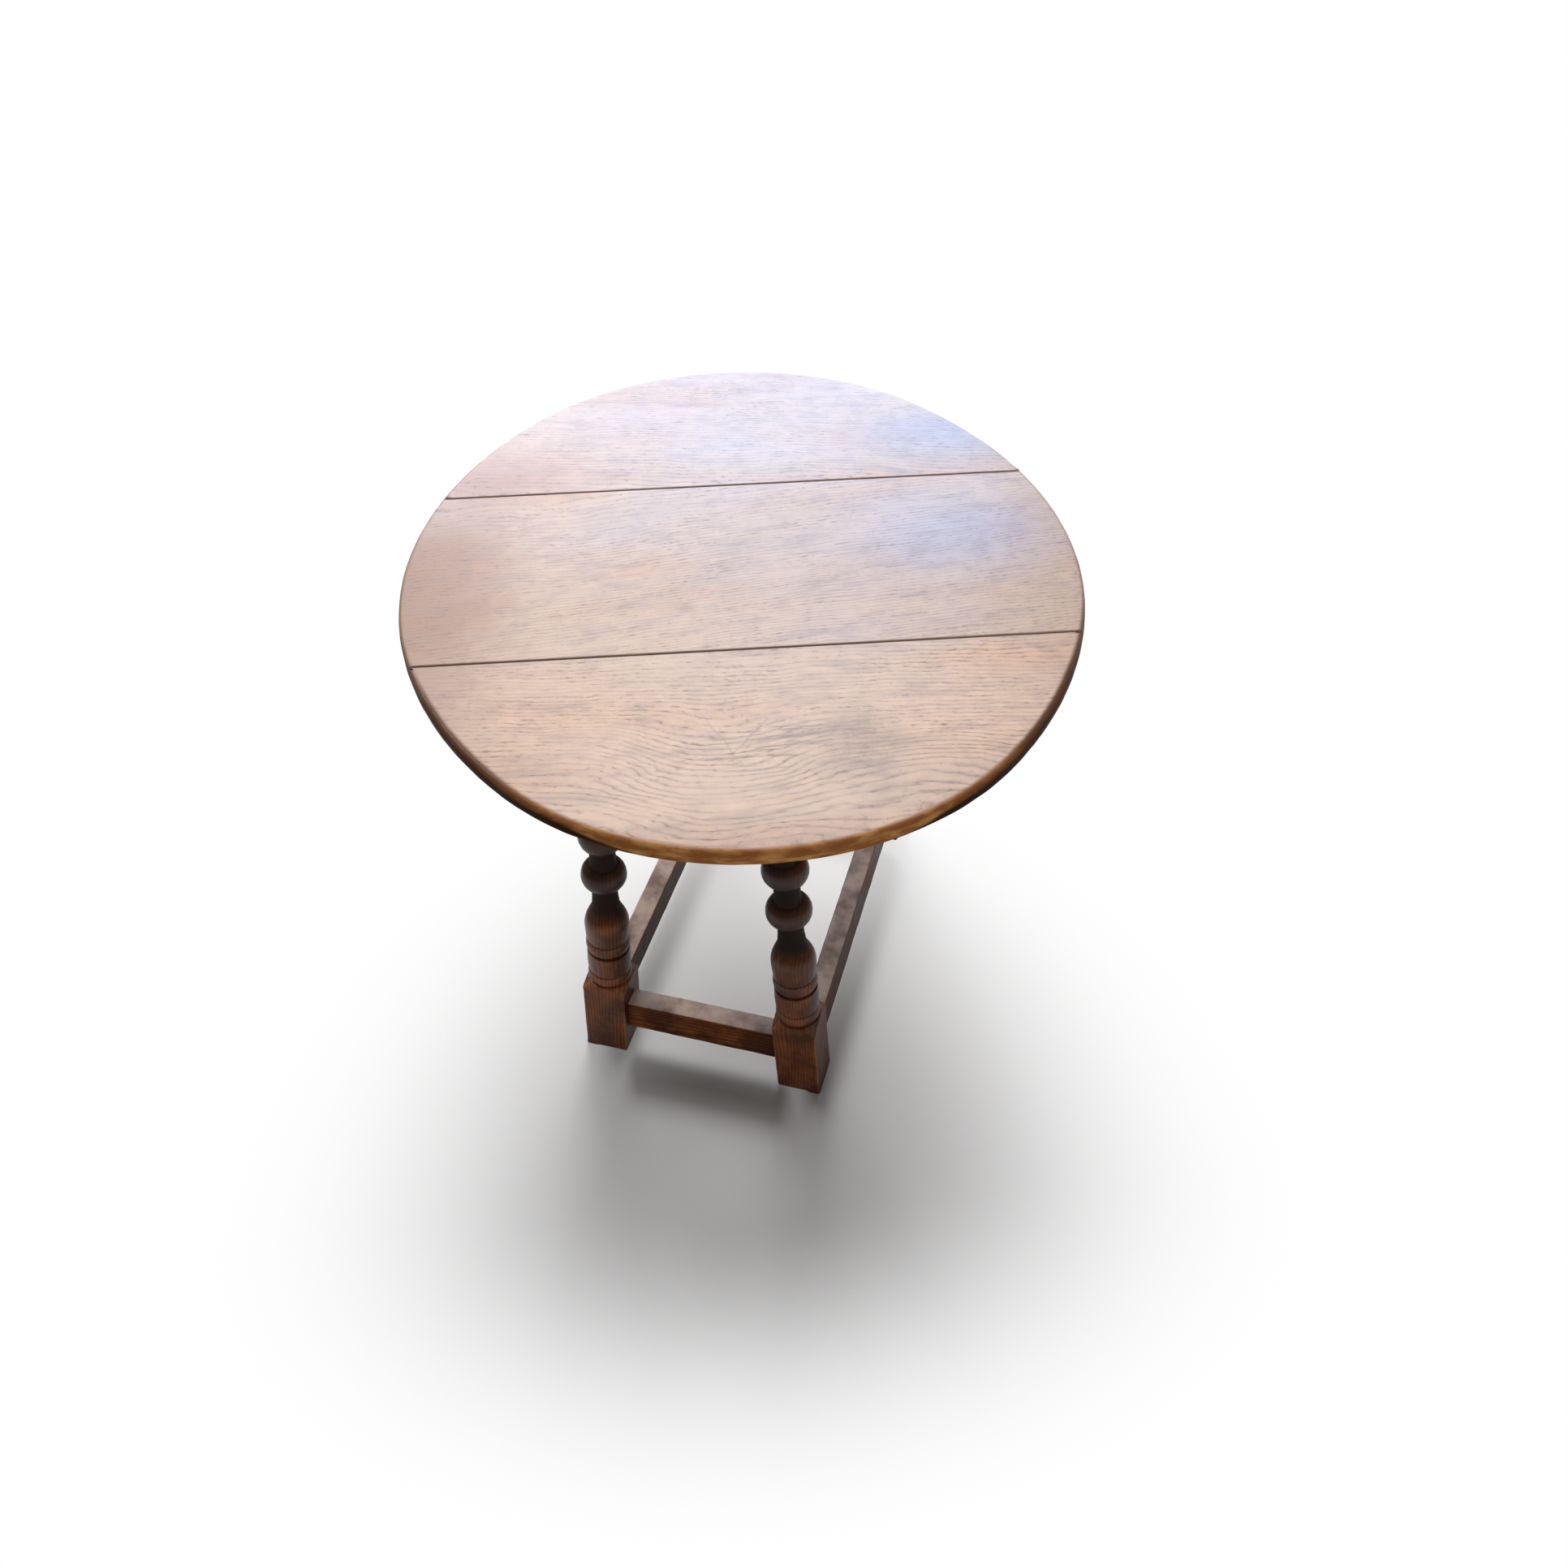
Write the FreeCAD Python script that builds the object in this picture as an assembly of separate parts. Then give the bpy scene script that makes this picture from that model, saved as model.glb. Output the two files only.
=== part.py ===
import FreeCAD, Part
import math
import os

# Drop leaf side table with an oval top that swivels on a raked oak frame.
# Millimetres, Z up. The origin is on the floor under the pivot of the top.
# X runs along the seams of the top and Y across its three boards.

# Top: three oak boards, a fixed one and two leaves on rule joints
table_height = 505.0
top_length = 618.0
top_width = 760.0
top_thickness = 13.0
rim_upper_round = 4.5
rim_under_round = 3.5
centre_board_width = 269.0
seam_gap = 1.0
seam_arris = 0.5
rule_radius = 7.6
rule_clearance = 0.4

# Frame: its long way stands square to the seams, less the turn it was left at,
# and its middle lies a little beyond the pivot, towards the far end
frame_turn = -19.5
frame_length = 433.0
frame_width = 259.0
frame_offset = 12.0
leg_rake = 3.2
leg_square = 46.0
block_arris = 2.0
foot_round = 1.5
foot_block_height = 99.5
head_block_height = 71.0
block_shoulder = 8.0
top_play = 0.4

# Stretchers and frieze rails, tenoned into the legs
stretcher_thickness = 23.0
stretcher_depth = 38.0
side_stretcher_outset = 5.0
end_stretcher_outset = 1.5
stretcher_top_height = 69.5
stretcher_arris = 1.5
frieze_thickness = 20.0
frieze_depth = 60.0
frieze_setback = 2.0
frieze_arris = 1.0
tenon_thickness = 8.0
tenon_length = 16.0
tenon_shoulder = 5.0
frieze_tenon_haunch = 10.0
tenon_clearance = 0.1

# Pivot: a cleat under the centre board, bolted to a bearer across the frame
cleat_length = 110.0
cleat_width = 60.0
cleat_thickness = 18.0
cleat_chamfer = 2.0
bearer_width = 60.0
bearer_thickness = 22.0
bearer_housing = 9.0
bolt_radius = 5.0
bolt_head_radius = 11.0
bolt_head_height = 4.0
bolt_neck_height = 5.0
bolt_end = 4.0
bolt_fit = 0.05
washer_radius = 14.0
washer_thickness = 1.6
washer_fit = 0.3
nut_flats = 17.0
nut_height = 8.0
nut_chamfer = 1.0
pivot_play = 0.2
cleat_screw_inset = 11.0
cleat_screw_length = 26.0
cleat_screw_radius = 2.2
cleat_screw_head_radius = 4.2
cleat_screw_head_height = 2.6

# Back flap hinges, let in flush with the underside of the top
hinge_spacing = 350.0
hinge_length = 38.0
hinge_axis_rise = 2.8
hinge_recess = 0.2
flap_thickness = 1.6
board_flap_reach = 22.0
leaf_flap_reach = 34.0
flap_fit = 0.2
knuckle_radius = 2.5
knuckle_room = 0.3
knuckle_joint_gap = 0.2
pin_radius = 1.0
pin_fit = 0.05
hinge_screw_inset = 6.0
hinge_screw_length = 9.6
hinge_screw_radius = 1.6
hinge_screw_head_radius = 3.2
screw_fit = 0.05
screw_slot_width = 0.8
screw_slot_depth = 0.7
overrun = 5.0

# Turned part of a leg from the foot block up: shape, height as a share of the
# turned length, then foot radius, head radius and swell as shares of half the
# leg's square. An ogee has upright ends, and a round that swells inwards is a cove.
turning_shares = (
    ("round", 0.042, 0.86, 0.86, 0.13),
    ("plain", 0.006, 0.80, 0.80, 0),
    ("round", 0.085, 0.95, 0.95, 0.03),
    ("plain", 0.006, 0.81, 0.81, 0),
    ("round", 0.047, 0.86, 0.86, 0.13),
    ("plain", 0.006, 0.82, 0.82, 0),
    ("round", 0.060, 0.94, 0.99, 0.01),
    ("ogee", 0.099, 0.99, 0.60, 0),
    ("round", 0.072, 0.60, 0.60, -0.03),
    ("round", 0.087, 0.60, 0.60, 0.39),
    ("round", 0.079, 0.60, 0.60, -0.03),
    ("round", 0.087, 0.60, 0.60, 0.39),
    ("round", 0.038, 0.60, 0.60, -0.03),
    ("ogee", 0.112, 0.60, 0.99, 0),
    ("round", 0.093, 0.99, 0.94, 0.01),
    ("plain", 0.006, 0.82, 0.82, 0),
    ("round", 0.028, 0.86, 0.86, 0.13),
    ("plain", 0.006, 0.80, 0.80, 0),
    ("round", 0.041, 0.86, 0.86, 0.13),
)
block_corner_share = 0.97
oval_end_share = 0.6
screw_tip_share = 0.3
cleat_screw_share = 0.36

# Heights and places that follow from the sizes above
underside = table_height - top_thickness
frame_top = underside - top_play
rake = math.radians(leg_rake)
leg_length = frame_top / math.cos(rake)
foot_centre_x = (frame_width - leg_square / math.cos(rake)) / 2
leg_centre_y = (frame_length - leg_square) / 2
inner_face_y = frame_length / 2 - leg_square
half_leg = leg_square / 2
stretcher_foot = stretcher_top_height - stretcher_depth
frieze_foot = frame_top - frieze_depth
frieze_outer = half_leg - frieze_setback
frieze_inner = frieze_outer - frieze_thickness
seam_y = centre_board_width / 2
hinge_z = underside + hinge_axis_rise
cleat_foot = underside - cleat_thickness
bearer_top = cleat_foot - washer_thickness
bearer_foot = bearer_top - bearer_thickness
clamp_top = bearer_foot - pivot_play
nut_top = clamp_top - washer_thickness
nut_foot = nut_top - nut_height

vec = FreeCAD.Vector
origin = vec(0, 0, 0)
x_way = vec(1, 0, 0)
y_way = vec(0, 1, 0)
z_way = vec(0, 0, 1)
ways = {"x": x_way, "y": y_way, "z": z_way}


# A box between two corners
def box(x0, x1, y0, y1, z0, z1):
    return Part.makeBox(x1 - x0, y1 - y0, z1 - z0, vec(x0, y0, z0))


# A box whose four edges along one way are rounded
def soft_box(x0, x1, y0, y1, z0, z1, way, radius):
    block = box(x0, x1, y0, y1, z0, z1)
    edges = []
    for edge in block.Edges:
        run = edge.Vertexes[1].Point - edge.Vertexes[0].Point
        if abs(run.normalize().dot(ways[way])) > math.cos(rake):
            edges.append(edge)
    return block.makeFillet(radius, edges)


# A shape with others cut out of it one after another
def cut_away(shape, voids):
    for void in voids:
        shape = shape.cut(void)
    return shape.removeSplitter()


# An upright cylinder on the pivot line
def spindle(radius, z0, z1):
    return Part.makeCylinder(radius, z1 - z0, vec(0, 0, z0))


# A bar along X in the corner under an arris, to ease it
def arris_bar(y, z, inward):
    reach = top_length / 2 + overrun
    corner = vec(-reach, y, z)
    level = vec(-reach, y + inward * seam_arris, z)
    plumb = vec(-reach, y, z - seam_arris)
    face = Part.Face(Part.makePolygon([corner, level, plumb, corner]))
    return face.extrude(vec(2 * reach, 0, 0))


# A shape that lies about the pivot, turned to where the frame was left
def turned(shape):
    shape = shape.copy()
    shape.rotate(origin, z_way, frame_turn)
    return shape


# The same for a shape that lies about the frame's own middle
def frame_placed(shape):
    shape = shape.copy()
    shape.translate(vec(0, frame_offset, 0))
    return turned(shape)


# Upright shapes of one side of the frame lean inwards over that side's feet
def lean(shape, side):
    shape = shape.copy()
    shape.rotate(origin, y_way, -side * leg_rake)
    shape.translate(vec(side * foot_centre_x, 0, 0))
    return shape


# Where the leg's line and the inner faces stand at a height above the floor
def leg_line_x(z):
    return foot_centre_x - z * math.tan(rake)


def leg_inner_x(z):
    return leg_line_x(z) - half_leg / math.cos(rake)


# The two arcs of an ogee between two radii, upright at both ends
def ogee_arcs(r0, z0, r1, z1):
    fall = r0 - r1
    rise = z1 - z0
    bend = (fall * fall + rise * rise) / (4 * abs(fall))
    half_turn = math.atan(abs(fall) / rise)
    sign = math.copysign(1, fall)
    side_step = sign * bend * (1 - math.cos(half_turn))
    up_step = bend * math.sin(half_turn)
    middle = vec((r0 + r1) / 2, 0, (z0 + z1) / 2)
    first = Part.Arc(vec(r0, 0, z0), vec(r0 - side_step, 0, z0 + up_step), middle)
    second = Part.Arc(middle, vec(r1 + side_step, 0, z1 - up_step), vec(r1, 0, z1))
    return [first.toShape(), second.toShape()]


# The turned part of the leg, spun from its outline
def turning():
    turned_length = leg_length - foot_block_height - head_block_height
    z = foot_block_height
    here = vec(0, 0, z)
    edges = []
    for shape, height, foot_share, head_share, swell_share in turning_shares:
        z_next = z + height * turned_length
        start = vec(foot_share * half_leg, 0, z)
        end = vec(head_share * half_leg, 0, z_next)
        if (start - here).Length > 0:
            edges.append(Part.makeLine(here, start))
        if shape == "ogee":
            edges += ogee_arcs(start.x, z, end.x, z_next)
        elif shape == "round":
            middle = (start + end) / 2 + vec(swell_share * half_leg, 0, 0)
            edges.append(Part.Arc(start, middle, end).toShape())
        else:
            edges.append(Part.makeLine(start, end))
        here = end
        z = z_next
    edges.append(Part.makeLine(here, vec(0, 0, z)))
    edges.append(Part.makeLine(vec(0, 0, z), vec(0, 0, foot_block_height)))
    return Part.Face(Part.Wire(edges)).revolve(origin, z_way, 360)


# A square block whose corners are turned down towards its round end
def leg_block(z0, z1, round_end):
    block = soft_box(-half_leg, half_leg, -half_leg, half_leg, z0, z1, "z", block_arris)
    corner = half_leg * math.sqrt(2)
    away = z0 if round_end == z1 else z1
    shoulder = round_end - math.copysign(block_shoulder, round_end - away)
    lathe = Part.makeCone(corner, half_leg * block_corner_share, block_shoulder, vec(0, 0, shoulder),
                          z_way * math.copysign(1, round_end - away))
    body = Part.makeCylinder(corner, abs(shoulder - away), vec(0, 0, min(shoulder, away)))
    return block.common(lathe.fuse(body))


# A leg before its mortises, upright on the origin
def leg_blank():
    foot = leg_block(-overrun, foot_block_height, foot_block_height)
    head_foot = leg_length - head_block_height
    head = leg_block(head_foot, leg_length + overrun, head_foot)
    return foot.fuse([turning(), head]).removeSplitter()


# The space between the floor and the top of the frame
def frame_slab():
    reach = frame_length + frame_width
    return box(-reach, reach, -reach, reach, 0, frame_top)


# Boxes of a rail and its through tenon along Y, upright in its side's own place
def long_rail(x0, x1, z0, z1, arris, haunch, grow):
    body = soft_box(x0, x1, -inner_face_y, inner_face_y, z0, z1, "y", arris)
    middle = (x0 + x1) / 2
    half = tenon_thickness / 2 + grow
    reach = inner_face_y + tenon_length + grow
    tenon = box(middle - half, middle + half, -reach, reach,
                z0 + tenon_shoulder - grow, z1 - haunch + grow)
    return body, tenon


# The same along X, level, with shoulders that a raked leg will trim
def short_rail(y0, y1, z0, z1, arris, haunch, grow):
    reach = leg_line_x((z0 + z1) / 2)
    body = soft_box(-reach, reach, y0, y1, z0, z1, "x", arris)
    middle = (y0 + y1) / 2
    half = tenon_thickness / 2 + grow
    reach = leg_inner_x((z0 + z1) / 2) + tenon_length + grow
    tenon = box(-reach, reach, middle - half, middle + half,
                z0 + tenon_shoulder - grow, z1 - haunch + grow)
    return body, tenon


# The low stretcher and the frieze rail of one long side
def side_stretcher(side, grow):
    half = stretcher_thickness / 2
    middle = side * side_stretcher_outset
    parts = long_rail(middle - half, middle + half, stretcher_foot, stretcher_top_height,
                      stretcher_arris, tenon_shoulder, grow)
    return [lean(part, side) for part in parts]


def side_frieze(side, grow):
    x0, x1 = sorted((side * frieze_inner, side * frieze_outer))
    parts = long_rail(x0, x1, leg_length - frieze_depth, leg_length,
                      frieze_arris, frieze_tenon_haunch, grow)
    return [lean(part, side).common(frame_slab()) for part in parts]


# The low stretcher and the frieze rail of one end
def end_stretcher(end, grow):
    half = stretcher_thickness / 2
    middle = end * (leg_centre_y + end_stretcher_outset)
    return short_rail(middle - half, middle + half, stretcher_foot, stretcher_top_height,
                      stretcher_arris, tenon_shoulder, grow)


def end_frieze(end, grow):
    outer = end * (leg_centre_y + frieze_outer)
    y0, y1 = sorted((outer, outer - end * frieze_thickness))
    return short_rail(y0, y1, frieze_foot, frame_top, frieze_arris, frieze_tenon_haunch, grow)


# A leg with its four mortises, and its foot and head cut level
def leg(side, end):
    solid = leg_blank()
    solid.translate(vec(0, end * leg_centre_y, 0))
    solid = lean(solid, side).common(frame_slab())
    foot_edges = []
    for edge in solid.Edges:
        if edge.BoundBox.ZMax < foot_round:
            foot_edges.append(edge)
    solid = solid.makeFillet(foot_round, foot_edges)
    tenons = (side_stretcher(side, tenon_clearance)[1], side_frieze(side, tenon_clearance)[1],
              end_stretcher(end, tenon_clearance)[1], end_frieze(end, tenon_clearance)[1])
    return cut_away(solid, tenons)


# The square line of a raked leg, to trim what butts against it
def leg_line(side, end):
    post = box(-half_leg, half_leg, -half_leg, half_leg, -overrun, leg_length + overrun)
    post.translate(vec(0, end * leg_centre_y, 0))
    return lean(post, side)


# A long rail is body and tenon in one, and the frieze is housed for the bearer
def long_member(parts):
    body, tenon = parts
    return body.fuse(tenon).removeSplitter()


def short_member(parts, end):
    body, tenon = parts
    body = cut_away(body, (leg_line(-1, end), leg_line(1, end)))
    return body.fuse(tenon).removeSplitter()


# The bearer lies across the frame, housed in the long frieze rails
def bearer_block(grow):
    height = (bearer_foot + bearer_top) / 2
    reach = leg_line_x(height) + frieze_inner + bearer_housing + grow
    half = bearer_width / 2 + grow
    return box(-reach, reach, -half, half, bearer_foot - grow, bearer_top + grow)


def pivot_bearer():
    return bearer_block(0).cut(spindle(bolt_radius + bolt_fit, bearer_foot, bearer_top))


# A countersunk screw pointing up, its head level with the origin
def screw(length, radius, head_radius, head_height, grow):
    head = Part.makeCone(head_radius + grow, radius + grow, head_height)
    tip = radius / screw_tip_share
    shank = Part.makeCylinder(radius + grow, length - tip + grow)
    point = Part.makeCone(radius + grow, radius * screw_tip_share, tip,
                          vec(0, 0, length - tip + grow))
    return head.fuse([shank, point]).removeSplitter()


# The same screw with its driver slot
def slotted_screw(length, radius, head_radius, head_height):
    half = screw_slot_width / 2
    slot = box(-head_radius, head_radius, -half, half, 0, screw_slot_depth)
    return screw(length, radius, head_radius, head_height, 0).cut(slot)


def cleat_screw_places():
    x = cleat_length * cleat_screw_share
    y = cleat_width / 2 - cleat_screw_inset
    return [vec(i * x, j * y, cleat_foot) for i in (-1, 1) for j in (-1, 1)]


def cleat_screw_voids():
    voids = []
    for place in cleat_screw_places():
        void = screw(cleat_screw_length, cleat_screw_radius, cleat_screw_head_radius,
                     cleat_screw_head_height, screw_fit)
        void.translate(place)
        voids.append(void)
    return voids


def cleat_screws():
    screws = []
    for place in cleat_screw_places():
        one = slotted_screw(cleat_screw_length, cleat_screw_radius,
                            cleat_screw_head_radius, cleat_screw_head_height)
        one.translate(place)
        screws.append(one)
    return Part.makeCompound(screws)


# The bolt hangs in the cleat by its domed head, and its square neck stops it turning
def bolt_shape(grow):
    head_top = underside - pivot_play + grow
    head_foot = head_top - bolt_head_height - 2 * grow
    head = spindle(bolt_head_radius + grow, head_foot, head_top)
    half = bolt_radius + grow
    neck = box(-half, half, -half, half, head_foot - bolt_neck_height, head_foot)
    shank = spindle(bolt_radius + grow, nut_foot - bolt_end, head_foot)
    return head, neck, shank


def pivot_bolt():
    head, neck, shank = bolt_shape(0)
    head_middle = underside - pivot_play - bolt_head_height / 2
    domed = [edge for edge in head.Edges if edge.BoundBox.ZMin > head_middle]
    head = head.makeFillet(bolt_head_height / 2, domed)
    return head.fuse([neck, shank]).removeSplitter()


def pivot_cleat():
    half_x = cleat_length / 2
    half_y = cleat_width / 2
    block = box(-half_x, half_x, -half_y, half_y, cleat_foot, underside)
    edges = [edge for edge in block.Edges if edge.BoundBox.ZMax < underside - cleat_chamfer]
    block = block.makeChamfer(cleat_chamfer, edges)
    return cut_away(block, list(bolt_shape(pivot_play)) + cleat_screw_voids())


def washer(z0):
    ring = spindle(washer_radius, z0, z0 + washer_thickness)
    return ring.cut(spindle(bolt_radius + washer_fit, z0, z0 + washer_thickness))


def pivot_nut():
    corner = nut_flats / math.sqrt(3)
    points = [vec(corner, 0, nut_foot)]
    for i in range(1, 7):
        turn = math.radians(60 * i)
        points.append(vec(corner * math.cos(turn), corner * math.sin(turn), nut_foot))
    hexagon = Part.Face(Part.makePolygon(points)).extrude(vec(0, 0, nut_height))
    drum = spindle(corner, nut_foot, nut_top)
    rims = [edge for edge in drum.Edges if edge.Closed and len(edge.Vertexes) == 1]
    drum = drum.makeChamfer(nut_chamfer, rims)
    return hexagon.common(drum).cut(spindle(bolt_radius + bolt_fit, nut_foot, nut_top))


# The whole oval as one disc, drawn with four tangent arcs and rounded at its rim
def oval():
    short = min(top_length, top_width) / 2
    long = max(top_length, top_width) / 2
    end_radius = short - (long - short) * oval_end_share
    side_radius = (short**2 + long**2 - 2 * long * end_radius) / (2 * (short - end_radius))
    end_centre = vec(0, long - end_radius, 0)
    side_centre = vec(short - side_radius, 0, 0)
    meet = end_centre + (end_centre - side_centre).normalize() * end_radius
    meets = [vec(i * meet.x, j * meet.y, 0) for i, j in ((1, 1), (1, -1), (-1, -1), (-1, 1))]
    tips = (vec(short, 0, 0), vec(0, -long, 0), vec(-short, 0, 0), vec(0, long, 0))
    arcs = []
    for i in range(4):
        arcs.append(Part.Arc(meets[i], tips[i], meets[(i + 1) % 4]).toShape())
    disc = Part.Face(Part.Wire(arcs)).extrude(vec(0, 0, top_thickness))
    if top_length > top_width:
        disc.rotate(origin, z_way, 90)
    upper = [edge for edge in disc.Edges if edge.BoundBox.ZMin > top_thickness / 2]
    disc = disc.makeFillet(rim_upper_round, upper)
    under = [edge for edge in disc.Edges if edge.BoundBox.ZMax < rim_under_round / 2]
    disc = disc.makeFillet(rim_under_round, under)
    disc.translate(vec(0, 0, underside))
    return disc.Solids[0]


# A round bar along X about the line of a seam's hinge pins
def hinge_bar(side, radius):
    reach = top_length / 2 + overrun
    return Part.makeCylinder(radius, 2 * reach, vec(-reach, side * seam_y, hinge_z), x_way)


# A hinge part moves from the pin's middle to its place under a seam
def at_hinge(shape, side, hand):
    shape = shape.copy()
    if side < 0:
        shape.rotate(origin, z_way, 180)
    shape.translate(vec(hand * hinge_spacing / 2, side * seam_y, hinge_z))
    return shape


flap_foot = hinge_recess - hinge_axis_rise
flap_top = flap_foot + flap_thickness
half_hinge = hinge_length / 2
knuckle_end = half_hinge / 3
flap_root = knuckle_radius + knuckle_room


# Places of the three screws in a flap that reaches away from the pin
def flap_screw_places(root, reach, way):
    outer = reach - hinge_screw_inset
    inner = (root + reach) / 2 - hinge_screw_inset / 2
    x = half_hinge - hinge_screw_inset
    return [vec(-x, way * outer, flap_foot), vec(0, way * inner, flap_foot),
            vec(x, way * outer, flap_foot)]


def board_screw_places():
    return flap_screw_places(flap_root, board_flap_reach, -1)


def leaf_screw_places():
    return flap_screw_places(rule_radius, leaf_flap_reach, 1)


def hinge_screw_voids(places):
    voids = []
    for place in places:
        void = screw(hinge_screw_length, hinge_screw_radius, hinge_screw_head_radius,
                     flap_thickness, screw_fit)
        void.translate(place)
        voids.append(void)
    return voids


# One knuckle of the hinge with the tang that joins it to its flap
def knuckle(x0, x1, way):
    barrel = Part.makeCylinder(knuckle_radius, x1 - x0, vec(x0, 0, 0), x_way)
    y0, y1 = sorted((0, way * flap_root))
    return barrel.fuse(box(x0, x1, y0, y1, flap_foot, flap_top))


# The flap on the centre board carries the two outer knuckles
def board_flap():
    plate = box(-half_hinge, half_hinge, -board_flap_reach, -flap_root, flap_foot, flap_top)
    left = knuckle(-half_hinge, -knuckle_end - knuckle_joint_gap, -1)
    right = knuckle(knuckle_end + knuckle_joint_gap, half_hinge, -1)
    bore = Part.makeCylinder(pin_radius + pin_fit, hinge_length, vec(-half_hinge, 0, 0), x_way)
    flap = plate.fuse([left, right]).removeSplitter()
    return cut_away(flap, [bore] + hinge_screw_voids(board_screw_places()))


# The longer flap on the leaf carries the middle knuckle
def leaf_flap():
    plate = box(-half_hinge, half_hinge, flap_root, leaf_flap_reach, flap_foot, flap_top)
    middle = knuckle(-knuckle_end, knuckle_end, 1)
    bore = Part.makeCylinder(pin_radius + pin_fit, hinge_length, vec(-half_hinge, 0, 0), x_way)
    flap = plate.fuse(middle).removeSplitter()
    return cut_away(flap, [bore] + hinge_screw_voids(leaf_screw_places()))


def hinge_pin():
    return Part.makeCylinder(pin_radius, hinge_length, vec(-half_hinge, 0, 0), x_way)


def hinge_screws(places):
    screws = []
    for place in places:
        one = slotted_screw(hinge_screw_length, hinge_screw_radius,
                            hinge_screw_head_radius, flap_thickness)
        one.translate(place)
        screws.append(one)
    return screws


# Wood taken out of the centre board for one hinge, with room for the leaf's lift
def board_recess():
    x = half_hinge + flap_fit
    under = -hinge_axis_rise - overrun
    flap = box(-x, x, -board_flap_reach - flap_fit, 0, under, flap_top + flap_fit)
    passage = box(-x, x, 0, rule_radius + rule_clearance, under, 0)
    barrel = Part.makeCylinder(knuckle_radius + knuckle_room, 2 * x, vec(-x, 0, 0), x_way)
    return [flap, passage, barrel] + hinge_screw_voids(board_screw_places())


# Wood taken out of a leaf for one hinge
def leaf_recess():
    x = half_hinge + flap_fit
    under = -hinge_axis_rise - overrun
    flap = box(-x, x, 0, leaf_flap_reach + flap_fit, under, flap_top + flap_fit)
    return [flap] + hinge_screw_voids(leaf_screw_places())


# The centre board ends each side in the quarter round of its rule joint
def centre_board():
    reach = top_length / 2 + overrun
    middle = box(-reach, reach, -seam_y, seam_y, underside, table_height)
    section = middle.fuse([hinge_bar(-1, rule_radius), hinge_bar(1, rule_radius)])
    board = oval().common(section)
    voids = cleat_screw_voids()
    for side in (-1, 1):
        voids.append(arris_bar(side * seam_y, table_height, -side))
        for hand in (-1, 1):
            voids += [at_hinge(void, side, hand) for void in board_recess()]
    return cut_away(board, voids)


# A leaf starts a seam's gap away and is coved to ride over the quarter round
def leaf(side):
    reach = top_length / 2 + overrun
    start = side * (seam_y + seam_gap)
    y0, y1 = sorted((start, side * (top_width / 2 + overrun)))
    board = oval().common(box(-reach, reach, y0, y1, underside, table_height))
    voids = [hinge_bar(side, rule_radius + rule_clearance)]
    voids.append(arris_bar(start, table_height, side))
    for hand in (-1, 1):
        voids += [at_hinge(void, side, hand) for void in leaf_recess()]
    return cut_away(board, voids)


def main():
    sides = {"left": -1, "right": 1}
    ends = {"near": -1, "far": 1}
    pieces = {}

    bearer_room = bearer_block(tenon_clearance)
    bearer_room.translate(vec(0, -frame_offset, 0))
    for side_name, side in sides.items():
        for end_name, end in ends.items():
            pieces["leg_" + end_name + "_" + side_name] = frame_placed(leg(side, end))
        pieces["stretcher_" + side_name] = frame_placed(long_member(side_stretcher(side, 0)))
        frieze = long_member(side_frieze(side, 0)).cut(bearer_room)
        pieces["frieze_rail_" + side_name] = frame_placed(frieze)
    for end_name, end in ends.items():
        pieces["stretcher_" + end_name] = frame_placed(short_member(end_stretcher(end, 0), end))
        pieces["frieze_rail_" + end_name] = frame_placed(short_member(end_frieze(end, 0), end))
    pieces["pivot_bearer"] = turned(pivot_bearer())

    pieces["bearing_washer"] = washer(bearer_top)
    pieces["pivot_cleat"] = pivot_cleat()
    pieces["cleat_screws"] = cleat_screws()
    pieces["pivot_bolt"] = pivot_bolt()
    pieces["clamp_washer"] = washer(nut_top)
    pieces["pivot_nut"] = pivot_nut()

    pieces["centre_board"] = centre_board()
    board_screws = []
    for end_name, end in ends.items():
        pieces[end_name + "_leaf"] = leaf(end)
        leaf_screws = []
        for side_name, side in sides.items():
            hinge = end_name + "_" + side_name + "_hinge_"
            pieces[hinge + "board_flap"] = at_hinge(board_flap(), end, side)
            pieces[hinge + "leaf_flap"] = at_hinge(leaf_flap(), end, side)
            pieces[hinge + "pin"] = at_hinge(hinge_pin(), end, side)
            for one in hinge_screws(board_screw_places()):
                board_screws.append(at_hinge(one, end, side))
            for one in hinge_screws(leaf_screw_places()):
                leaf_screws.append(at_hinge(one, end, side))
        pieces[end_name + "_leaf_hinge_screws"] = Part.makeCompound(leaf_screws)
    pieces["centre_board_hinge_screws"] = Part.makeCompound(board_screws)

    os.makedirs("parts", exist_ok=True)
    for name, shape in pieces.items():
        solids = len(shape.Solids)
        print(name, solids, "solids", round(shape.Volume), "mm3", shape.isValid())
        shape.exportStep("parts/" + name + ".step")
    print(len(pieces), "pieces")


main()
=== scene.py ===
import functools
import math

import bmesh
import bpy
from mathutils import Matrix, Vector


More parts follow.
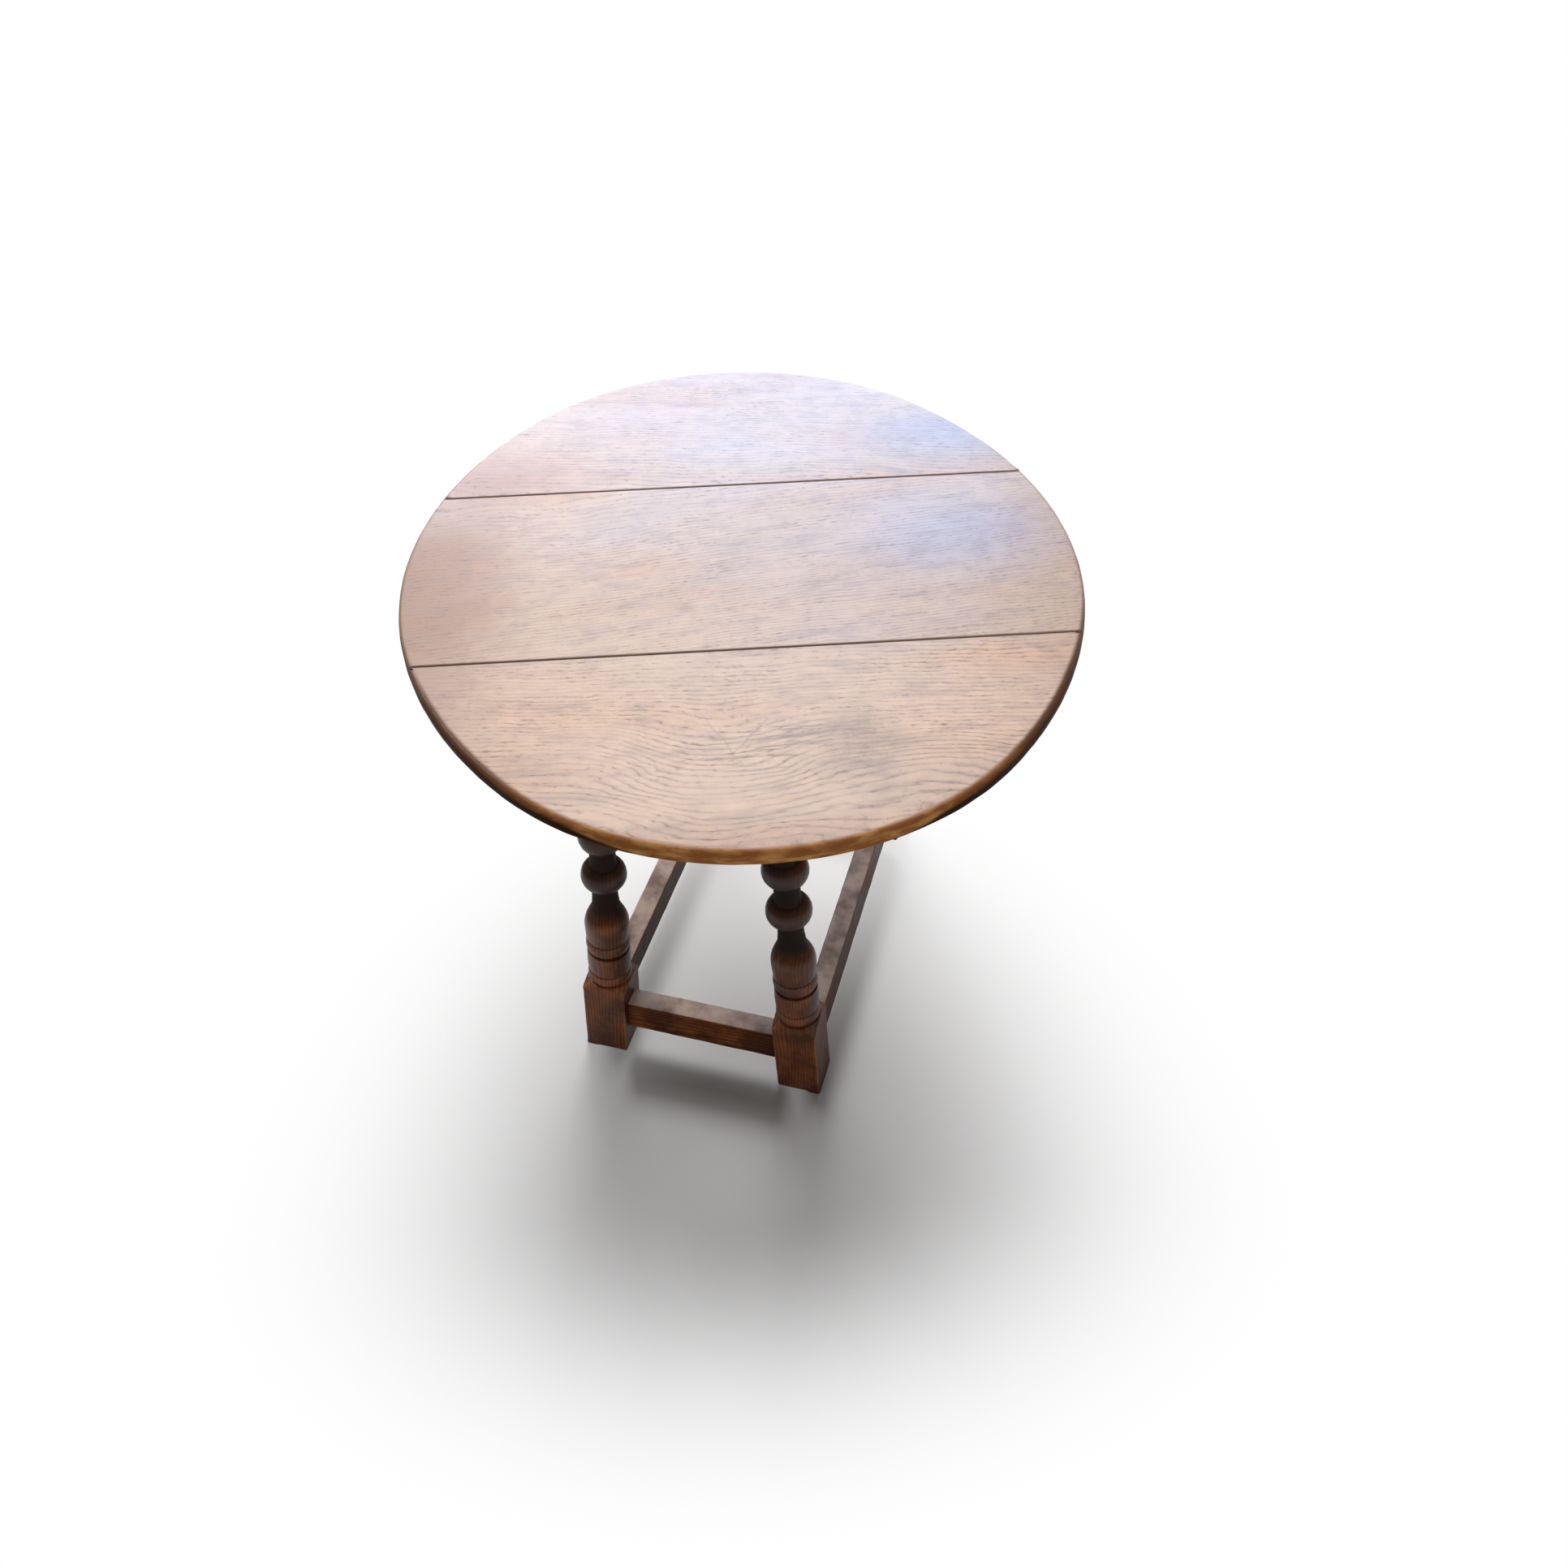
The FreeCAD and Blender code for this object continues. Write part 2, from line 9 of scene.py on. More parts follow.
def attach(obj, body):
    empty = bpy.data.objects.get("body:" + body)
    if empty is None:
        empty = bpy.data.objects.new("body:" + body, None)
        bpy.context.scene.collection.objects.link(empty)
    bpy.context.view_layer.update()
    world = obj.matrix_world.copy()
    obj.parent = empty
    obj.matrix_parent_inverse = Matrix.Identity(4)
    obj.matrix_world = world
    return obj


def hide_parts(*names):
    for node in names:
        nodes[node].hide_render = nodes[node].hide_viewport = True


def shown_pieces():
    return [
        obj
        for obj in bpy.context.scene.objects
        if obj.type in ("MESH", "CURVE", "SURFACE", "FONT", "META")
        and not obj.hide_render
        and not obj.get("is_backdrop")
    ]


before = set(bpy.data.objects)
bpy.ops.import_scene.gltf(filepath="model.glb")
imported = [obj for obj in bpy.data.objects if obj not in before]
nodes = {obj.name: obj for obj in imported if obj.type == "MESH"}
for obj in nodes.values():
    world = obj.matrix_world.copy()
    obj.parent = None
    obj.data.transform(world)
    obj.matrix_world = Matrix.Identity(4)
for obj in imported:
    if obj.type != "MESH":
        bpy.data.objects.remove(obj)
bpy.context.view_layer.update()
print("frame loaded:", len(nodes), "CAD nodes")


# Small helpers


def hexColour(text):  # an sRGB hex value as the linear colour that Blender takes
    parts = [int(text[i:i + 2], 16) / 255 for i in (1, 3, 5)]
    return [c / 12.92 if c <= 0.04045 else ((c + 0.055) / 1.055) ** 2.4 for c in parts] + [1]


def addNode(tree, kind, links=(), stops=(), **settings):  # with what feeds its sockets and a ramp's stops
    kind, *operation = kind.split()  # such as Math ADD
    node = tree.nodes.new("ShaderNode" + kind)
    if operation:
        node.operation = operation[0]
    for name, value in settings.items():
        setattr(node, name, value)
    for index, (place, level) in enumerate(stops):
        elements = node.color_ramp.elements
        stop = elements[index] if index < 2 else elements.new(place)  # a new ramp has two stops
        stop.position = place
        stop.color = (level, level, level, 1)
    for socket, source in links.items() if isinstance(links, dict) else enumerate(links):
        if isinstance(source, bpy.types.Node):
            source = source.outputs[0]
        if isinstance(source, bpy.types.NodeSocket):
            tree.links.new(source, node.inputs[socket])
        else:
            node.inputs[socket].default_value = hexColour(source) if isinstance(source, str) else source
    return node


def newMaterial(name):  # an empty material, and addNode for its own tree
    material = bpy.data.materials.new(name)
    material.use_nodes = True
    material.node_tree.nodes.clear()
    return material, functools.partial(addNode, material.node_tree)


def only(obj):  # selects one object alone and makes it active
    bpy.ops.object.select_all(action="DESELECT")
    obj.select_set(True)
    bpy.context.view_layer.objects.active = obj


def pick(obj, kind, test):  # in edit mode: selects only the VERT, EDGE or FACE items that pass the test
    bpy.ops.mesh.select_mode(type=kind)
    bpy.ops.mesh.select_all(action="DESELECT")
    shape = bmesh.from_edit_mesh(obj.data)
    for item in {"VERT": shape.verts, "EDGE": shape.edges, "FACE": shape.faces}[kind]:
        if test(item):
            item.select_set(True)
    bmesh.update_edit_mesh(obj.data)


def pickAll():
    bpy.ops.mesh.select_all(action="SELECT")


def reachOf(edge, axis):  # how far an edge reaches along an axis
    return abs(edge.verts[0].co[axis] - edge.verts[1].co[axis])


def roundEdges(obj, radius, segments, test):  # in edit mode, as are the next two
    pick(obj, "EDGE", test)
    bpy.ops.mesh.bevel(offset=radius, segments=segments)


def cutEdges(obj, cuts, test):
    pick(obj, "EDGE", test)
    bpy.ops.mesh.subdivide(number_cuts=cuts)


def cutOff(place, way):  # cuts everything along a plane and drops what lies on that way from it
    pickAll()
    bpy.ops.mesh.bisect(plane_co=place, plane_no=way, use_fill=True, clear_outer=True)


def edit(obj):
    only(obj)
    bpy.ops.object.mode_set(mode="EDIT")
    bpy.ops.mesh.select_mode(type="VERT")


def onePoint():  # a new mesh of a single point at the origin, open in edit mode
    bpy.ops.mesh.primitive_plane_add(size=0.01, location=(0, 0, 0))
    made = bpy.context.active_object
    edit(made)
    pickAll()
    bpy.ops.mesh.merge(type="CENTER")
    return made


def leaveEdit():
    bpy.ops.object.mode_set(mode="OBJECT")


def modify(obj, kind, **settings):  # adds a modifier and applies it
    only(obj)
    modifier = obj.modifiers.new(kind, kind)
    for name, value in settings.items():
        setattr(modifier, name, value)
    bpy.ops.object.modifier_apply(modifier=modifier.name)


def carve(obj, tool, operation):  # applies a boolean and drops the tool
    modify(obj, "BOOLEAN", operation=operation, solver="EXACT", object=tool)
    bpy.data.objects.remove(tool)


def copyOf(obj, name):  # a copy with its own mesh
    only(obj)
    bpy.ops.object.duplicate()
    made = bpy.context.active_object
    made.name = name
    made.data.name = name
    return made


def settle(obj):  # puts the object's place and turn into its mesh
    only(obj)
    bpy.ops.object.transform_apply(location=True, rotation=True, scale=True)
    return obj


def boxOf(middle, size):
    bpy.ops.mesh.primitive_cube_add(size=1, location=middle, scale=size)
    return settle(bpy.context.active_object)


def rod(radius, length, sides, middle, turn=(0, math.pi / 2, 0)):  # lies along X unless it is turned
    bpy.ops.mesh.primitive_cylinder_add(vertices=sides, radius=radius, depth=length, location=middle,
                                        rotation=turn)
    return settle(bpy.context.active_object)


def portion(value, start, end):  # 0 at the start, 1 at the end and held there
    return min(1, max(0, (value - start) / (end - start)))


def markPoints(obj, name, level):  # gives each point a level that a material reads
    marks = obj.data.attributes.new(name, "FLOAT", "POINT")
    marks.data.foreach_set("value", [level(vertex.co) for vertex in obj.data.vertices])


def wear(obj, depth, grain, group=""):  # uneven hand wear that only takes material away
    cloud = bpy.data.textures.new(obj.name + "Wear", "CLOUDS")
    cloud.noise_scale = grain
    cloud.noise_depth = 2
    modify(obj, "DISPLACE", texture=cloud, texture_coords="LOCAL", strength=depth, mid_level=1,
           vertex_group=group)
    bpy.data.textures.remove(cloud)


def smooth(obj, angle=32):  # smooth rounds, crisp arrises and flat faces that stay flat
    only(obj)
    bpy.ops.object.shade_smooth_by_angle(angle=math.radians(angle))
    modify(obj, "WEIGHTED_NORMAL", keep_sharp=True)


def rememberGrain(obj, start):  # keeps each point's place in the plank it was cut from
    places = obj.data.attributes.new("grain", "FLOAT_VECTOR", "POINT")
    values = []
    for vertex in obj.data.vertices:
        values.extend(start(vertex.co))
    places.data.foreach_set("vector", values)


# Top: one oval, cut into the two leaves and the board between them

topSizes = {
    "length": 0.618,  # along the seams
    "width": 0.760,
    "thickness": 0.013,
    "height": 0.505,
    "endShare": 0.6,
    "upperRound": 0.0045,
    "underRound": 0.0035,
    "upperSteps": 6,
    "underSteps": 5,
    "faceInset": 0.004,  # a loop round each face that keeps the rim's shading off it
    "mergeWithin": 0.0002,
    "cutterSpare": 0.02,  # cutters reach past the wood
    "seam": 0.1345,
    "gap": 0.001,
    "seamArris": 0.0015,
    "ruleRadius": 0.0076,
    "ruleClearance": 0.0004,
    "pinHeight": 0.4948,
    "stepLength": 0.004,
    "rimWear": 0.0006,
    "wearGrain": 0.022,
    "unworn": 0.0004,  # next to both faces
}


def ovalArcs(sizes):  # radius of the end and the side arcs, and how far out their centres lie
    short, long = sizes["length"] / 2, sizes["width"] / 2
    endRadius = short - (long - short) * sizes["endShare"]
    sideRadius = (short ** 2 + long ** 2 - 2 * long * endRadius) / (2 * (short - endRadius))
    return endRadius, sideRadius, long - endRadius, sideRadius - short


def insetOf(p, sizes):  # how far a point lies inside the oval's outline
    endRadius, sideRadius, endOut, sideBack = ovalArcs(sizes)
    x, y = abs(p.x), abs(p.y)
    if y * sideBack > (x + sideBack) * endOut:
        return endRadius - math.hypot(x, y - endOut)
    return sideRadius - math.hypot(x + sideBack, y)


def ovalDisc(sizes):
    endRadius, sideRadius, endOut, sideBack = ovalArcs(sizes)
    endCentre = Vector((0, endOut, 0))
    sideCentre = Vector((-sideBack, 0, 0))
    way = (endCentre - sideCentre).normalized()
    meet = endCentre + way * endRadius
    endAngle = 2 * math.atan2(way.x, way.y)  # swept by the far and near arcs
    sideAngle = math.pi - endAngle
    height = Vector((0, 0, sizes["height"]))
    disc = onePoint()
    disc.name = "ovalTop"
    bpy.ops.transform.translate(value=meet + height)
    arcs = ((endCentre, endAngle, endRadius), (-sideCentre, sideAngle, sideRadius),
            (-endCentre, endAngle, endRadius), (sideCentre, sideAngle, sideRadius))
    for centre, angle, radius in arcs:
        steps = round(angle * radius / sizes["stepLength"])
        bpy.ops.mesh.spin(steps=steps, angle=angle, center=centre + height, axis=(0, 0, -1))
    pickAll()
    bpy.ops.mesh.remove_doubles(threshold=sizes["mergeWithin"])
    bpy.ops.mesh.edge_face_add()
    bpy.ops.mesh.extrude_region_move(TRANSFORM_OT_translate={"value": (0, 0, -sizes["thickness"])})
    pickAll()
    bpy.ops.mesh.normals_make_consistent(inside=False)
    top = sizes["height"]
    under = top - sizes["thickness"]
    for level, radius, segments in ((top, sizes["upperRound"], sizes["upperSteps"]),
                                    (under, sizes["underRound"], sizes["underSteps"])):
        roundEdges(disc, radius, segments, lambda e: all(abs(v.co.z - level) < 1e-6 for v in e.verts))
    pick(disc, "FACE", lambda f: len(f.verts) > 4)
    bpy.ops.mesh.inset(thickness=sizes["faceInset"], use_even_offset=True)
    leaveEdit()
    rim = disc.vertex_groups.new(name="rim")
    low, high = under + sizes["unworn"], top - sizes["unworn"]
    rim.add([v.index for v in disc.data.vertices if low < v.co.z < high], 1, "REPLACE")
    wear(disc, sizes["rimWear"], sizes["wearGrain"], "rim")
    return disc


disc = ovalDisc(topSizes)
print("oval drawn:", len(disc.data.polygons), "faces")

hingeRoom = {  # wood taken out for each flush hinge
    "halfLength": 0.0192,
    "boardReach": 0.0222,
    "leafReach": 0.0342,
    "roof": 0.4940,
    "floor": 0.4880,
    "barrel": 0.0028,
    "passage": 0.0080,  # up to the pin's height, where a lifted leaf swings its flap
    "spacing": 0.350,
}


def hingeRoomTool(sizes, pinHeight):
    y0, y1 = -sizes["boardReach"], sizes["leafReach"]
    length, floor, roof = 2 * sizes["halfLength"], sizes["floor"], sizes["roof"]
    room = boxOf((0, (y0 + y1) / 2, (floor + roof) / 2), (length, y1 - y0, roof - floor))
    carve(room, rod(sizes["barrel"], length, 32, (0, 0, pinHeight)), "UNION")
    reach = sizes["passage"]
    carve(room, boxOf((0, reach / 2, (floor + pinHeight) / 2), (length, reach, pinHeight - floor)), "UNION")
    room.name = "hingeRoomTool"
    return room


def ruleBar(radius, side, sizes):  # a long round bar on the line of a seam's pins
    return rod(radius, sizes["length"] + sizes["cutterSpare"], 96,
               (0, side * sizes["seam"], sizes["pinHeight"]))


def cutHingeRooms(board, side, tool):
    for hand in (-1, 1):
        room = copyOf(tool, "room")
        room.rotation_euler = (0, 0, 0 if side > 0 else math.pi)
        room.location = (hand * hingeRoom["spacing"] / 2, side * topSizes["seam"], 0)
        carve(board, settle(room), "DIFFERENCE")


def easeArris(board, y, sizes):  # the sharp edge beside a seam, worn round
    edit(board)
    roundEdges(board, sizes["seamArris"], 3, lambda e: all(
        abs(v.co.y - y) < 1e-5 and abs(v.co.z - sizes["height"]) < 1e-5 for v in e.verts))
    leaveEdit()


def makeLeaf(name, side, sizes):
    leaf = copyOf(disc, name)
    start = side * (sizes["seam"] + sizes["gap"])
    edit(leaf)
    cutOff((0, start, 0), (0, -side, 0))
    leaveEdit()
    easeArris(leaf, start, sizes)
    carve(leaf, ruleBar(sizes["ruleRadius"] + sizes["ruleClearance"], side, sizes), "DIFFERENCE")
    cutHingeRooms(leaf, side, hingeTool)
    return leaf


def makeCentreBoard(name, sizes):
    board = copyOf(disc, name)
    spare = sizes["cutterSpare"]
    section = boxOf((0, 0, sizes["height"] - sizes["thickness"] / 2),
                    (sizes["length"] + spare, 2 * sizes["seam"], sizes["thickness"] + spare / 2))
    for side in (-1, 1):
        carve(section, ruleBar(sizes["ruleRadius"], side, sizes), "UNION")
    carve(board, section, "INTERSECT")
    for side in (-1, 1):
        easeArris(board, side * sizes["seam"], sizes)
        cutHingeRooms(board, side, hingeTool)
    return board


hingeTool = hingeRoomTool(hingeRoom, topSizes["pinHeight"])
boards = {
    "nearLeafBoard": (makeLeaf("nearLeafBoard", -1, topSizes), "near_leaf", "near_leaf_group"),
    "fixedBoard": (makeCentreBoard("fixedBoard", topSizes), "centre_board", "top"),
    "farLeafBoard": (makeLeaf("farLeafBoard", 1, topSizes), "far_leaf", "far_leaf_group"),
}
for spare in (disc, hingeTool):
    bpy.data.objects.remove(spare)

planks = {  # how each board lay in its log: the heart's y, depth, fall and swing along X, place along the log
    "nearLeafBoard": {"heart": -0.400, "depth": 0.130, "fall": 0.060, "swing": 0.0, "along": 0.0},
    "fixedBoard": {"heart": 0.175, "depth": 0.060, "fall": -0.050, "swing": 0.12, "along": 3.1},
    "farLeafBoard": {"heart": 0.110, "depth": 0.050, "fall": 0.060, "swing": -0.10, "along": 7.4},
}
for name, (board, node, body) in boards.items():
    plank = planks[name]
    heartHeight = topSizes["height"] - plank["depth"]
    rememberGrain(board, lambda p: (p.x + plank["along"], p.y - plank["heart"] - p.x * plank["swing"],
                                    p.z - heartHeight + p.x * plank["fall"]))
    markPoints(board, "inset", lambda p: insetOf(p, topSizes))
    smooth(board)
    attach(board, body)
    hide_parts(node)
    print(name, len(board.data.polygons), "faces")


# Legs: a square block, a turned middle and another block, raked one way

legSizes = {
    "square": 0.046,
    "arris": 0.0026,
    "footBlock": 0.0995,
    "headBlock": 0.071,
    "shoulder": 0.008,
    "cornerShare": 0.97,
    "overrun": 0.005,
    "footRound": 0.0015,
    "rake": 3.2,
    "frameTop": 0.4916,
    "frameTurn": -19.5,
    "frameLength": 0.433,
    "frameWidth": 0.259,
    "frameOffset": 0.012,  # the frame's middle lies beyond the pivot
    "sides": 72,
    "steps": 12,  # along each round or ogee
    "cuts": (7, 22),  # across and along a block, so that wear can bend its faces
    "ballFullness": 0.6,  # balls and beads are fuller than an arc
    "cutterSpare": 0.002,
    "wearDepth": 0.0008,
    "wearGrain": 0.016,
    "logPlace": (0.06, 0.03),
    "logTurn": 0.01,  # each leg is cut from its own part of the log
    # where each mark is 0 and 1, as shares of half the square
    "hollow": (0.95, 0.63),
    "polish": (0.85, 0.95),
    "rub": (1.335, 1.355),
    "footPolish": 0.4,
}
turning = (  # member, height as a share, foot and head radius and swell as shares of half the square
    ("round", 0.042, 0.86, 0.86, 0.13), ("plain", 0.006, 0.80, 0.80, 0),
    ("round", 0.085, 0.95, 0.95, 0.03), ("plain", 0.006, 0.81, 0.81, 0),
    ("round", 0.047, 0.86, 0.86, 0.13), ("plain", 0.006, 0.82, 0.82, 0),
    ("round", 0.060, 0.94, 0.99, 0.01), ("ogee", 0.099, 0.99, 0.60, 0),
    ("round", 0.072, 0.60, 0.60, -0.03), ("round", 0.087, 0.60, 0.60, 0.39),
    ("round", 0.079, 0.60, 0.60, -0.03), ("round", 0.087, 0.60, 0.60, 0.39),
    ("round", 0.038, 0.60, 0.60, -0.03), ("ogee", 0.112, 0.60, 0.99, 0),
    ("round", 0.093, 0.99, 0.94, 0.01), ("plain", 0.006, 0.82, 0.82, 0),
    ("round", 0.028, 0.86, 0.86, 0.13), ("plain", 0.006, 0.80, 0.80, 0),
    ("round", 0.041, 0.86, 0.86, 0.13),
)
rake = math.radians(legSizes["rake"])
legLength = legSizes["frameTop"] / math.cos(rake)
halfSquare = legSizes["square"] / 2
footX = (legSizes["frameWidth"] - legSizes["square"] / math.cos(rake)) / 2
legY = (legSizes["frameLength"] - legSizes["square"]) / 2


def memberPoints(member, start, height):  # a member's outline as radius and height pairs
    kind, _, foot, head, swell = member
    foot, head, swell = foot * halfSquare, head * halfSquare, swell * halfSquare
    points = []
    count = 1 if kind == "plain" else legSizes["steps"]
    fullness = legSizes["ballFullness"] if swell > 0 else 1
    for i in range(count + 1):
        eased = (1 - math.cos(math.pi * i / count)) / 2
        t = eased if kind == "round" else i / count
        if kind == "ogee":
            radius = foot + (head - foot) * eased
        else:
            radius = foot + (head - foot) * t + swell * (1 - (2 * t - 1) ** 2) ** fullness
        points.append((radius, start + t * height))
    return points


def turnedMiddle(sizes):
    low, high = sizes["footBlock"], legLength - sizes["headBlock"]
    first, last = low - sizes["shoulder"], high + sizes["shoulder"]
    outline = [(0.0, first), (turning[0][2] * halfSquare, first)]
    z = low
    for member in turning:
        outline.extend(memberPoints(member, z, member[1] * (high - low)))
        z += member[1] * (high - low)
    outline += [(turning[-1][3] * halfSquare, last), (0.0, last)]
    middle = onePoint()
    radius, height = outline[0]
    bpy.ops.transform.translate(value=(radius, 0, height))
    for nextRadius, nextHeight in outline[1:]:
        bpy.ops.mesh.extrude_region_move(
            TRANSFORM_OT_translate={"value": (nextRadius - radius, 0, nextHeight - height)})
        radius, height = nextRadius, nextHeight
    pickAll()
    bpy.ops.mesh.spin(steps=sizes["sides"], angle=2 * math.pi, center=(0, 0, 0), axis=(0, 0, 1))
    pickAll()
    bpy.ops.mesh.remove_doubles(threshold=0.00001)
    bpy.ops.mesh.normals_make_consistent(inside=False)
    leaveEdit()
    return middle


def block(sizes, z0, z1, roundEnd):  # a square block, arrises eased, its corners turned down at the round end
    made = boxOf((0, 0, (z0 + z1) / 2), (sizes["square"], sizes["square"], z1 - z0))
    edit(made)
    cutEdges(made, sizes["cuts"][0], lambda e: reachOf(e, 2) < 0.001)
    roundEdges(made, sizes["arris"], 4,
               lambda e: all(abs(v.co.x * v.co.y) > halfSquare ** 2 - 1e-7 for v in e.verts))
    cutEdges(made, sizes["cuts"][1], lambda e: reachOf(e, 2) > 0.01)
    leaveEdit()
    corner = halfSquare * math.sqrt(2)
    away = z0 if roundEnd == z1 else z1
    way = math.copysign(1, roundEnd - away)
    shoulder, start = roundEnd - way * sizes["shoulder"], away - way * sizes["cutterSpare"]
    lathe = rod(corner * 1.01, abs(shoulder - start), sizes["sides"], (0, 0, (shoulder + start) / 2),
                (0, 0, 0))
    edit(lathe)
    pick(lathe, "FACE", lambda f: abs(f.calc_center_median().z - shoulder) < 1e-6)
    bpy.ops.mesh.extrude_region_move(TRANSFORM_OT_translate={"value": (0, 0, roundEnd - shoulder)})
    bpy.ops.transform.resize(value=(sizes["cornerShare"] / math.sqrt(2),) * 2 + (1,))
    leaveEdit()
    carve(made, lathe, "INTERSECT")
    return made


middle = turnedMiddle(legSizes)
footBlock = block(legSizes, -legSizes["overrun"], legSizes["footBlock"], legSizes["footBlock"])
headBlock = block(legSizes, legLength - legSizes["headBlock"], legLength + legSizes["overrun"],
                  legLength - legSizes["headBlock"])
plainLeg = footBlock
carve(plainLeg, middle, "UNION")
carve(plainLeg, headBlock, "UNION")
print("leg turned:", len(plainLeg.data.polygons), "faces")


def outerShare(p):  # how far a point of the leg stands from its centre line, in halves of its square
    return math.hypot(p.x, p.y) / halfSquare


def polished(p):  # the foot blocks have been kept less bright
    reached = legSizes["footPolish"] if p.z < legSizes["footBlock"] else 1
    return portion(outerShare(p), *legSizes["polish"]) * reached


markPoints(plainLeg, "hollow", lambda p: portion(outerShare(p), *legSizes["hollow"]))  # 1 in the necks
markPoints(plainLeg, "polish", polished)  # 1 where cloths have kept the legs bright
markPoints(plainLeg, "rub", lambda p: portion(outerShare(p), *legSizes["rub"]))  # 1 along the blocks' arrises
legPlaces = {  # node, side, end, and the turn that shows another face of the leg
    "nearLeftLeg": ("leg_near_left", -1, -1, 0), "nearRightLeg": ("leg_near_right", 1, -1, 90),
    "farLeftLeg": ("leg_far_left", -1, 1, 180), "farRightLeg": ("leg_far_right", 1, 1, 270),
}


def placeInFrame(obj, side, x, y):  # leans a settled piece over its side's feet and turns it with the frame
    turned = Matrix.Rotation(math.radians(legSizes["frameTurn"]), 4, "Z")
    place = Matrix.Translation((x, y + legSizes["frameOffset"], 0))
    obj.matrix_world = turned @ place @ Matrix.Rotation(-side * rake, 4, "Y")
    settle(obj)


for name, (node, side, end, turn) in legPlaces.items():
    leg = copyOf(plainLeg, name)
    leg.rotation_euler = (0, 0, math.radians(turn))
    settle(leg)
    logX, logY = legSizes["logPlace"]
    rememberGrain(leg, lambda p: (p.z + turn * legSizes["logTurn"], p.x + logX, p.y + logY))
    placeInFrame(leg, side, side * footX, end * legY)
    edit(leg)
    for height, way in ((0, -1), (legSizes["frameTop"], 1)):
        cutOff((0, 0, height), (0, 0, way))
    roundEdges(leg, legSizes["footRound"], 3, lambda e: all(v.co.z < 1e-6 for v in e.verts))
    leaveEdit()
    standing = leg.vertex_groups.new(name="standing")
    inside = [v.index for v in leg.data.vertices if 0.0001 < v.co.z < legSizes["frameTop"] - 0.0001]
    standing.add(inside, 1, "REPLACE")
    wear(leg, legSizes["wearDepth"], legSizes["wearGrain"], "standing")
    smooth(leg, 38)
    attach(leg, "frame")
    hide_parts(node)
    print(name, len(leg.data.polygons), "faces")
bpy.data.objects.remove(plainLeg)


# Stretchers near the floor and frieze rails under the top

railSizes = {
    "stretcher": {"thickness": 0.023, "depth": 0.038, "topHeight": 0.0695, "sideOutset": 0.005,
                  "endOutset": 0.0015, "arris": 0.0022, "wear": 0.0008},
    "frieze": {"thickness": 0.020, "depth": 0.060, "setback": 0.002, "arris": 0.0012, "wear": 0.0004},
    "intoLeg": 0.0005,
    "cuts": 40,
    "rubbedShare": 0.6,  # of an arris
    "wearGrain": 0.02,
    "sideLog": (0.05, 0.04),
    "endLog": (0.05, 0.03),
}


def rail(name, length, size, long):  # a rail on the origin along X or Y, arrises eased
    x, y = (size["thickness"], length) if long else (length, size["thickness"])
    made = boxOf((0, 0, 0), (x, y, size["depth"]))
    made.name = name
    made.data.name = name
    along = 1 if long else 0
    edit(made)
    roundEdges(made, size["arris"], 4, lambda e: reachOf(e, along) > 0.01)
    cutEdges(made, railSizes["cuts"], lambda e: reachOf(e, along) > 0.01)
    leaveEdit()
    rubbed = size["arris"] * railSizes["rubbedShare"]
    high, wide = size["depth"] / 2 - rubbed, size["thickness"] / 2 - rubbed
    markPoints(made, "rub", lambda p: float(abs(p.z) > high and abs(p[1 - along]) > wide))  # 1 on the arrises
    return made


def dressRail(made, node, size):
    wear(made, size["wear"], railSizes["wearGrain"])
    smooth(made)
    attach(made, "frame")
    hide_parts(node)


innerY = legSizes["frameLength"] / 2 - legSizes["square"]
for kind in ("stretcher", "frieze"):
    size = railSizes[kind]
    prefix = "stretcher" if kind == "stretcher" else "frieze_rail"
    for sideName, side in (("left", -1), ("right", 1)):
        piece = rail(sideName + kind.capitalize() + "Rail", 2 * (innerY + railSizes["intoLeg"]), size, True)
        logX, logZ = railSizes["sideLog"]
        rememberGrain(piece, lambda p: (p.y + side + len(kind), p.x + logX, p.z + logZ))
        if kind == "stretcher":
            piece.location = (side * size["sideOutset"], 0, size["topHeight"] - size["depth"] / 2)
        else:
            offset = halfSquare - size["setback"] - size["thickness"] / 2
            piece.location = (side * offset, 0, legLength - size["depth"] / 2)
        settle(piece)
        placeInFrame(piece, side, side * footX, 0)
        if kind == "frieze":
            edit(piece)
            cutOff((0, 0, legSizes["frameTop"]), (0, 0, 1))
            leaveEdit()
        dressRail(piece, prefix + "_" + sideName, size)
    for endName, end in (("near", -1), ("far", 1)):
        z = (size["topHeight"] if kind == "stretcher" else legSizes["frameTop"]) - size["depth"] / 2
        reach = footX - z * math.tan(rake) - halfSquare / math.cos(rake) + railSizes["intoLeg"]
        piece = rail(endName + kind.capitalize() + "Rail", 2 * reach, size, False)
        for vertex in piece.data.vertices:  # the ends lean with the legs that they meet
            if abs(vertex.co.x) > reach - 1e-5:
                vertex.co.x -= math.copysign(1, vertex.co.x) * vertex.co.z * math.tan(rake)
        piece.data.update()
        logY, logZ = railSizes["endLog"]
        rememberGrain(piece, lambda p: (p.x + 5 * end + len(kind), p.y + logY, p.z + logZ))
        if kind == "stretcher":
            y = end * (legY + size["endOutset"])
        else:
            y = end * (legY + halfSquare - size["setback"] - size["thickness"] / 2)
        piece.location = (0, 0, z)
        settle(piece)
        placeInFrame(piece, 0, 0, y)
        dressRail(piece, prefix + "_" + endName, size)
print("rails fitted")


# Materials

softly = {"interpolation_type": "SMOOTHSTEP"}  # for a change that starts and ends gently


def span(value, start, end, low=0, high=1):  # sockets that turn start..end into low..high
    return {"Value": value, "From Min": start, "From Max": end, "To Min": low, "To Max": high}


